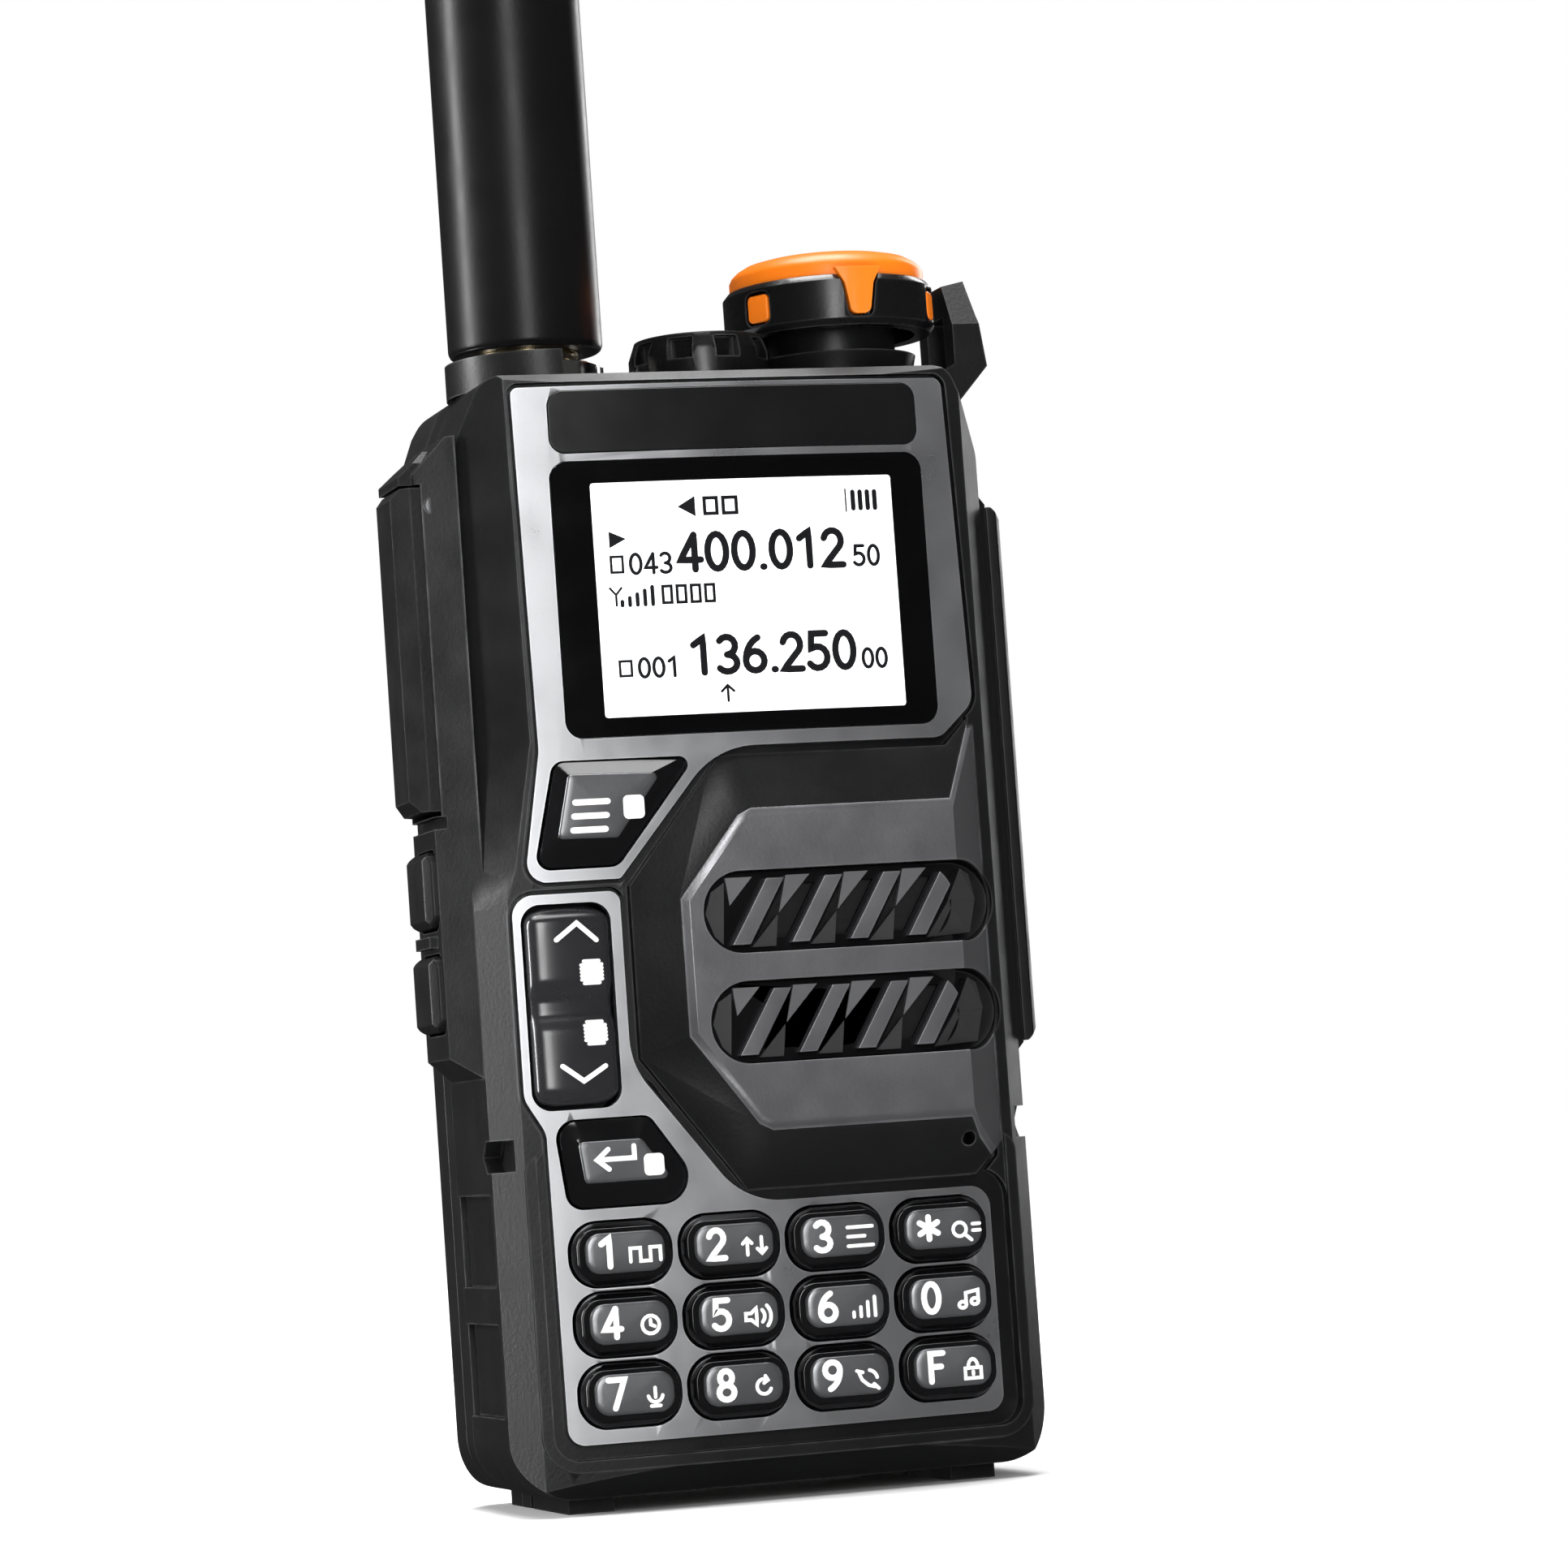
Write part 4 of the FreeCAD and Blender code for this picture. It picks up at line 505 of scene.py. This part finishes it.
def polygon_plate(points, front, back):
    """A small plate from (x, z) points; front may be one depth, or one for each point."""
    depths = front if isinstance(front, (list, tuple)) else [front] * len(points)
    bm = bmesh.new()
    top = [bm.verts.new((x, y, z)) for (x, z), y in zip(points, depths)]
    low = [bm.verts.new((x, back, z)) for x, z in points]
    bm.faces.new(top)
    bm.faces.new(low[::-1])
    for i in range(len(points)):
        j = (i + 1) % len(points)
        bm.faces.new((top[i], top[j], low[j], low[i]))
    return bm


def merged(meshes):
    """One mesh from several."""
    total = bmesh.new()
    for bm in meshes:
        mesh = bpy.data.meshes.new("tmp")
        bm.to_mesh(mesh)
        bm.free()
        total.from_mesh(mesh)
        bpy.data.meshes.remove(mesh)
    return total


def cushion(outline, base, height, rings=7, skirt=0.25):
    """A softly domed pad over an outline, its edge rolled down."""
    middle = sum(outline, Vector((0, 0))) / len(outline)
    bm = bmesh.new()
    loops = []
    profile = [(1.0, skirt), (1.0, 0.0), (0.975, -0.45), (0.94, -0.62)]
    profile += [(0.94 * (1 - k / rings), -0.62 - 0.38 * (1 - (1 - k / rings) ** 2)) for k in range(1, rings)]
    for scale, level in profile:
        depth = base + (level * height if level < 0 else level)
        loop = [middle + (p - middle) * scale for p in outline]
        loops.append([bm.verts.new((p.x, depth, p.y)) for p in loop])
    for outer, inner in zip(loops, loops[1:]):
        for i in range(len(outline)):
            j = (i + 1) % len(outline)
            bm.faces.new((outer[i], outer[j], inner[j], inner[i]))
    centre = bm.verts.new((middle.x, base - height, middle.y))
    for i in range(len(outline)):
        bm.faces.new((loops[-1][i], loops[-1][(i + 1) % len(outline)], centre))
    return bm


# ---- display ------------------------------------------------------------------------------------
WINDOW = [(-18.8, 103.8, 1.8), (-18.8, 75.6, 1.8), (21.0, 75.6, 1.8), (21.0, 103.8, 1.8)]
VIEW = [(-14.8, 101.5, 0.3), (-14.8, 77.5, 0.3), (17.5, 77.5, 0.3), (17.5, 101.5, 0.3)]
LIGHT_FIELD = [Vector(corner) for corner in ((-15.3, 77.1), (18.1, 77.1), (18.1, 101.9), (-15.3, 101.9))]
INK_FRONT = -0.16           # the figures' front, measured from the bowed face

border = add_mesh("window_border", bent(flat_plate([rounded(WINDOW), rounded(VIEW, 2)], -0.25, 0.8)),
                  "radio", GLOSS, smooth=False)
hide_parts("display_window")
add_mesh("lcd_view", bent(flat_plate([LIGHT_FIELD], -0.12, 0.5)), "radio", LCD, smooth=False)


def shown(lines, width):
    return strokes(lines, INK_FRONT, width)


def number(text, x, z, height, width):
    return figures(text, x, z, height, INK_FRONT, width)


level_bars = [[(x, 88.9), (x, 89.3 + 0.35 * i)] for i, x in enumerate((-12.2, -11.4, -10.6, -9.8, -9.0))]
display_marks = [
    number("400.012", -5.95, 92.1, 3.95, 0.70), number("50", 12.8, 92.1, 2.2, 0.36),
    number("136.250", -5.5, 81.5, 3.95, 0.70), number("00", 13.0, 81.5, 2.1, 0.36),
    number("043", -11.2, 92.0, 2.2, 0.34), number("001", -11.0, 81.4, 2.1, 0.34),
    polygon_plate([(-13.15, 96.5), (-13.15, 94.8), (-11.4, 95.7)], INK_FRONT, 0.0),
    polygon_plate([(-5.75, 98.8), (-3.9, 99.85), (-3.9, 97.75)], INK_FRONT, 0.0),
    shown([box_line(-2.9, 98.0, 1.3, 1.6), box_line(-0.9, 98.0, 1.4, 1.6)], 0.36),
    shown([[(x, 98.1), (x, 99.8)] for x in (13.2, 14.0, 14.8, 15.6)], 0.50),
    shown([[(12.4, 97.8), (12.4, 100.1)]], 0.16),
    shown(level_bars, 0.40),
    shown([[(-13.4, 90.7), (-12.8, 90.0), (-12.2, 90.7)], [(-12.8, 90.0), (-12.8, 88.9)]], 0.22),
    shown([box_line(x, 89.0, 0.9, 1.7) for x in (-7.9, -6.4, -4.9, -3.4)], 0.30),
    shown([box_line(-13.1, 92.3, 1.2, 1.6)], 0.26),
    shown([box_line(-12.9, 81.7, 1.2, 1.5)], 0.26),
    shown([[(-1.75, 78.7), (-1.75, 80.3)], [(-2.4, 79.7), (-1.75, 80.3), (-1.1, 79.7)]], 0.26),
]
add_mesh("display_figures", bent(merged(display_marks)), "radio", INK, smooth=False)

# ---- number keys --------------------------------------------------------------------------------
KEY_PITCH_X, KEY_PITCH_Z, KEY_ROW_Z = 11.25, 7.07, 9.4
KEY_RISE = 1.3              # the keys' tops stand this far in front of the bowed face
PAD_SIZE = (8.3, 4.1, 1.55) # width, height and corner radius
PRINT_THICK = 0.2
KEY_NAMES = (("7", "8", "9", "f"), ("4", "5", "6", "0"), ("1", "2", "3", "star"))
# the small generic sign beside each key's figure, as lines round its middle
SIGNS = {
    "1": [[(-1.7, -.7), (-1.7, .7), (-.6, .7), (-.6, -.7), (.5, -.7), (.5, .7), (1.6, .7), (1.6, -.7)]],
    "2": [[(-.8, -.9), (-.8, .8)], [(-1.3, .3), (-.8, .8), (-.3, .3)], [(.8, .9), (.8, -.8)],
          [(.3, -.3), (.8, -.8), (1.3, -.3)]],
    "3": [[(-1.4, 1.2), (1.4, 1.2)], [(-1.4, .2), (.5, .2)], [(-1.4, -.8), (1.4, -.8)]],
    "star": [arc(-.4, .1, .75, .75, 0, 360, 14), [(.15, -.45), (.9, -1.1)], [(1.1, .6), (1.9, .6)],
             [(1.1, -.1), (1.9, -.1)]],
    "4": [arc(0, 0, .95, .95, 0, 360, 14), [(0, .5), (0, 0), (.45, -.2)]],
    "5": [[(-1.5, -.35), (-1.5, .35), (-.9, .35), (-.3, .9), (-.3, -.9), (-.9, -.35), (-1.5, -.35)],
          arc(-.3, 0, .9, .9, 45, -45, 5), arc(-.3, 0, 1.6, 1.6, 42, -42, 7)],
    "6": [[(-1.3, -.9), (-1.3, -.4)], [(-.5, -.9), (-.5, .1)], [(.3, -.9), (.3, .6)],
          [(1.1, -.9), (1.1, 1.1)]],
    "0": [arc(-.65, -.55, .42, .34, 0, 360, 10), arc(.75, -.25, .42, .34, 0, 360, 10),
          [(-.25, -.5), (-.25, .7), (1.15, .95), (1.15, -.2)]],
    "7": [[(0, -.2), (0, .8)], arc(0, .1, .8, .8, 190, 350, 8), [(0, -.7), (0, -1.1)],
          [(-.5, -1.1), (.5, -1.1)]],
    "8": [arc(0, 0, .8, .8, 60, 340, 12), [(.2, 1.1), (.45, .65), (.0, .35)]],
    "9": [[(-1.2, .5), (-.9, -.2), (-.2, -.8), (.5, -1.0)], [(-1.45, .8), (-.8, .6)], [(.4, -.7), (.9, -1.2)],
          arc(-.2, -.2, 1.0, 1.0, 80, 10, 5)],
    "f": [[(-.9, -1.0), (.9, -1.0), (.9, .1), (-.9, .1), (-.9, -1.0)], arc(0, .1, .55, .95, 180, 0, 8),
          [(0, -.6), (0, -.3)]],
}
FIGURE_OF = {"f": "F", "star": "*"}

for row, names in enumerate(KEY_NAMES):
    for column, name in enumerate(names):
        x, z = (column - 1.5) * KEY_PITCH_X, KEY_ROW_Z + row * KEY_PITCH_Z
        top = bow(x) - KEY_RISE
        body = "key_" + name
        pad = cushion(rounded(centred(x + 0.1, z + 0.1, *PAD_SIZE), 8), top - 0.02, 0.40)
        add_mesh("pad_" + name, pad, body, KEY_FACE)
        sign = [[(x + 2.15 + a * 0.95, z - 0.25 + b * 0.95) for a, b in line] for line in SIGNS[name]]
        low, high = (z - 2.6, 4.0) if name == "star" else (z - 1.4, 3.15)
        figure = figures(FIGURE_OF.get(name, name), x - 2.75, low, high, top - 0.46, 0.60, PRINT_THICK)
        legend = merged([figure, strokes(sign, top - 0.42, 0.36, PRINT_THICK)])
        add_mesh("legend_" + name, legend, body, LEGEND, smooth=False)

# ---- menu, exit and up/down keys ----------------------------------------------------------------
MENU_TOP = [(-19.4, 71.9, 0.5), (-9.6, 71.7, 0.5), (-14.6, 65.3, 0.5), (-20.9, 65.4, 0.5)]
EXIT_TOP = [(-20.9, 34.9, 0.5), (-14.3, 34.9, 0.5), (-11.3, 30.7, 0.5), (-20.4, 30.7, 0.5)]
MENU_X, EXIT_X = 15.5, 16.5     # how far left the middles of these keys are
FLAT_KEY_RISE = 1.32            # how far they stand in front of the bowed face
for name, corners, x in (("menu", MENU_TOP, MENU_X), ("exit", EXIT_TOP, EXIT_X)):
    pad = cushion(rounded(corners, 5), bow(x) - FLAT_KEY_RISE, 0.25)
    add_mesh("pad_" + name, pad, "key_" + name, KEY_FACE)

menu_front = bow(MENU_X) - FLAT_KEY_RISE - 0.27
list_sign = [[(-18.9, 69.0), (-15.5, 69.0)], [(-19.1, 67.6), (-15.7, 67.6)], [(-19.3, 66.2), (-15.9, 66.2)]]
menu_tile = flat_plate([rounded(centred(-12.8, 68.3, 2.2, 2.4, 0.5), 4)], menu_front, menu_front + 0.1)
menu_marks = merged([strokes(list_sign, menu_front, 0.62, 0.12), menu_tile])
add_mesh("legend_menu", menu_marks, "key_menu", LEGEND, smooth=False)

exit_front = bow(EXIT_X) - FLAT_KEY_RISE - 0.27
back_sign = [[(-15.2, 34.2), (-15.2, 33.0), (-19.0, 33.0)], [(-17.9, 34.0), (-19.1, 33.0), (-17.9, 32.0)]]
exit_tile = flat_plate([rounded(centred(-13.2, 32.2, 2.1, 2.2, 0.5), 4)], exit_front, exit_front + 0.12)
exit_marks = merged([strokes(back_sign, exit_front, 0.5, 0.12), exit_tile])
add_mesh("legend_exit", exit_marks, "key_exit", LEGEND, smooth=False)

ROCKER_X, ROCKER_Z = -20.2, 48.6
ROCKER_HALF_W, ROCKER_HALF_L, ROCKER_CORNER = 4.33, 9.93, 1.7
ROCKER_FACE = bow(ROCKER_X)
ROCKER_ROLL = 0.55              # how far the crown drops towards the long edges
SADDLE_HALF = 2.5               # half the length of the dip in the middle


def rocker_level(z):
    """Height of the long key's crown along its length: a saddle in the middle and rolled ends."""
    away = abs(z - ROCKER_Z)
    if away < SADDLE_HALF:
        saddle = 0.55 + 0.85 * min(1.0, max(0.0, (away - 0.9) / 1.6)) ** 0.7
    else:
        saddle = 1.40 + 0.05 * min(1.0, (away - SADDLE_HALF) / 5.0)
    end = max(0.0, (away - 8.3) / 1.6)
    return saddle - 1.2 * end * end


def rocker_mesh(stations=60, across=20, back=4.2):
    bm = bmesh.new()
    rings = []
    for i in range(stations + 1):
        z = ROCKER_Z + ROCKER_HALF_L * (-1 + 2 * i / stations)
        corner = max(0.0, abs(z - ROCKER_Z) - (ROCKER_HALF_L - ROCKER_CORNER))
        inset = ROCKER_CORNER - math.sqrt(max(0.0, ROCKER_CORNER ** 2 - corner ** 2))
        width = ROCKER_HALF_W - inset
        crown = ROCKER_FACE - rocker_level(z)
        ring = [bm.verts.new((ROCKER_X - width, back, z))]
        for j in range(across + 1):
            u = -1 + 2 * j / across
            rolled_edge = max(0.0, (abs(u) - 0.85) / 0.15) ** 2
            drop = ROCKER_ROLL * (abs(u) ** 2.4 + rolled_edge)
            ring.append(bm.verts.new((ROCKER_X + width * u, crown + drop, z)))
        ring.append(bm.verts.new((ROCKER_X + width, back, z)))
        rings.append(ring)
    for a, b in zip(rings, rings[1:]):
        for j in range(len(a)):
            k = (j + 1) % len(a)
            bm.faces.new((a[j], a[k], b[k], b[j]))
    bm.faces.new(rings[0])
    bm.faces.new(rings[-1][::-1])
    return bm


rocker = add_mesh("updown_key", rocker_mesh(), "key_updown", ROCKER)
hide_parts("key_updown")

ROCKER_PRINT = -0.08
ROCKER_PRINT_THICK = 0.14


def rounded_tile(x, z, size, rows=7):
    """A small square mark with round corners, cut so that it can follow the key."""
    lines = []
    for k in range(rows):
        t = -1 + 2 * k / (rows - 1)
        pull = size / 2 * (1.0 if 0 < k < rows - 1 else 0.74)
        lines.append([(x - pull, z + t * size / 2), (x + pull, z + t * size / 2)])
    return strokes(lines, ROCKER_PRINT, size / (rows - 1), ROCKER_PRINT_THICK, 0.35)


def on_rocker(bm):
    """Lays flat marks on the crown of the long key."""
    for vert in bm.verts:
        u = min(1.0, abs((vert.co.x - ROCKER_X) / ROCKER_HALF_W))
        vert.co.y += ROCKER_FACE - rocker_level(vert.co.z) + ROCKER_ROLL * u ** 2.4
    return bm


chevrons = [[(-21.7, 55.3), (-19.5, 56.9), (-17.5, 55.1)], [(-21.9, 42.6), (-19.8, 41.0), (-17.4, 42.4)]]
rocker_marks = merged([strokes(chevrons, ROCKER_PRINT, 0.5, ROCKER_PRINT_THICK, 0.3),
                       rounded_tile(-18.2, 51.9, 2.2), rounded_tile(-18.2, 45.8, 2.2)])
add_mesh("legend_updown", on_rocker(rocker_marks), "key_updown", LEGEND, smooth=False)

# ---- speaker slots ------------------------------------------------------------------------------
SLOT_Z, BAR_PITCH, BAR_COUNT = (45.8, 57.0), 6.27, 4
FACET_BACK, FLANK_FACET_BACK = -0.7, 1.2


def slot_facets(slot_z):
    """The slanting faces between a slot's bars, as lists of pieces painted lit and of pieces painted in
    shade.
    """
    light, dark = [], []
    top, low = slot_z + 3.55, slot_z - 3.6
    first = [(-3.9, top), (-1.0, top), (-3.5, top - 2.8)]
    light.append(polygon_plate(first, [-1.55, -1.45, -1.3], FACET_BACK))
    for i in range(1, BAR_COUNT):
        x = i * BAR_PITCH
        upper = [(x - 3.75, top), (x - 1.15, top), (x - 4.6, top - 3.75)]
        lower = [(x - 4.75, top - 3.9), (x - 5.2, low), (x - 7.8, low)]
        light.append(polygon_plate(upper, [-1.65, -1.5, -1.3], FACET_BACK))
        dark.append(polygon_plate(lower, [-1.35, -1.5, -1.65], FACET_BACK))
    left_end = [(-3.95, slot_z + 3.1), (-4.4, slot_z - 3.2), (-5.3, slot_z - 2.3), (-6.1, slot_z),
                (-5.4, slot_z + 2.2)]
    dark.append(polygon_plate(left_end, -1.25, FACET_BACK))
    middle, far = (19.74, slot_z - 0.2), (23.4, slot_z + 0.1)
    upper_end = [(21.45, slot_z + 3.3), middle, far, (22.7, slot_z + 2.7)]
    lower_end = [middle, (17.3, slot_z - 3.6), (22.4, slot_z - 3.3), far]
    dark.append(polygon_plate(upper_end, [-1.1, -1.3, 0.35, -0.1], FLANK_FACET_BACK))
    dark.append(polygon_plate(lower_end, [-1.35, -1.45, -0.2, 0.45], FLANK_FACET_BACK))
    return light, dark


painted_lit_facets, painted_shade_facets = [], []
for slot_z in SLOT_Z:
    light, dark = slot_facets(slot_z)
    painted_lit_facets += light
    painted_shade_facets += dark
# upper facets painted lit, lower ones painted in shade
add_mesh("facets_upper", merged(painted_lit_facets), "radio", FACET_PAINTED_LIT, smooth=False)
add_mesh("facets_lower", merged(painted_shade_facets), "radio", FACET_PAINTED_SHADE, smooth=False)


# ---- studio -------------------------------------------------------------------------------------
def floor_sheet():
    """A wide pale floor, left out of mirror reflections so that the dark plastics keep their depth."""
    bm = bmesh.new()
    bmesh.ops.create_circle(bm, cap_ends=True, segments=64, radius=9.0)
    mesh = bpy.data.meshes.new("floor")
    bm.to_mesh(mesh)
    bm.free()
    floor = bpy.data.objects.new("floor", mesh)
    bpy.context.scene.collection.objects.link(floor)
    mesh.materials.append(surface("floor_paper", (0.92, 0.92, 0.92), 0.85, tint=0.01, patch=3.0, grain=900.0,
                                  bump=0.05, specular=0.2))
    floor.visible_glossy = False


def softbox(name, place, target, width, height, power):
    """A soft rectangular lamp that looks at a point."""
    lamp = bpy.data.lights.new(name, "AREA")
    lamp.shape = "RECTANGLE"
    lamp.size, lamp.size_y = width, height
    lamp.energy = power
    holder = bpy.data.objects.new(name, lamp)
    bpy.context.scene.collection.objects.link(holder)
    holder.location = place
    holder.rotation_mode = "QUATERNION"
    holder.rotation_quaternion = (Vector(target) - Vector(place)).to_track_quat("-Z", "Y")


floor_sheet()
centre = (0.0, 0.0, 0.06)
softbox("key", (-0.20, -1.25, 0.36), centre, 0.24, 0.84, 8.0)
softbox("left_strip", (-0.95, 0.22, 0.30), (0.0, 0.0, 0.08), 0.14, 1.0, 15.0)
softbox("right_strip", (0.75, 0.75, 0.40), centre, 0.14, 0.8, 4.0)
softbox("top", (0.0, 0.15, 1.1), centre, 0.5, 0.35, 8.0)
overhead = bpy.data.lights.new("overhead", "SUN")
overhead.energy = 3.7
overhead.angle = math.radians(50)
bpy.context.scene.collection.objects.link(bpy.data.objects.new("overhead", overhead))

AMBIENT = 0.045             # how much the white background lights the object
world = bpy.data.worlds.new("studio")
world.use_nodes = True
paths = world.node_tree.nodes.new("ShaderNodeLightPath")
glow = world.node_tree.nodes["Background"]
glow.inputs[0].default_value = (1.0, 1.0, 1.0, 1.0)
strength = ranged(world.node_tree, paths.outputs["Is Camera Ray"], 0.0, 1.0, AMBIENT, 1.0)
world.node_tree.links.new(strength, glow.inputs[1])
bpy.context.scene.world = world
bpy.context.scene.view_settings.view_transform = "Standard"

camera_data = bpy.data.cameras.new("camera")
camera_data.sensor_width = 36.0
camera_data.lens = 121.1
camera_data.clip_start, camera_data.clip_end = 0.05, 20.0
camera = bpy.data.objects.new("camera", camera_data)
bpy.context.scene.collection.objects.link(camera)
camera.location = at(-157.2, -513.3, 32.7)
azimuth, elevation, roll = math.radians(17.39), math.radians(3.96), math.radians(-4.01)
level = math.cos(elevation)
ahead = Vector((math.sin(azimuth) * level, math.cos(azimuth) * level, math.sin(elevation)))
camera.rotation_mode = "QUATERNION"
camera.rotation_quaternion = ahead.to_track_quat("-Z", "Y") @ Matrix.Rotation(roll, 4, "Z").to_quaternion()
bpy.context.scene.camera = camera
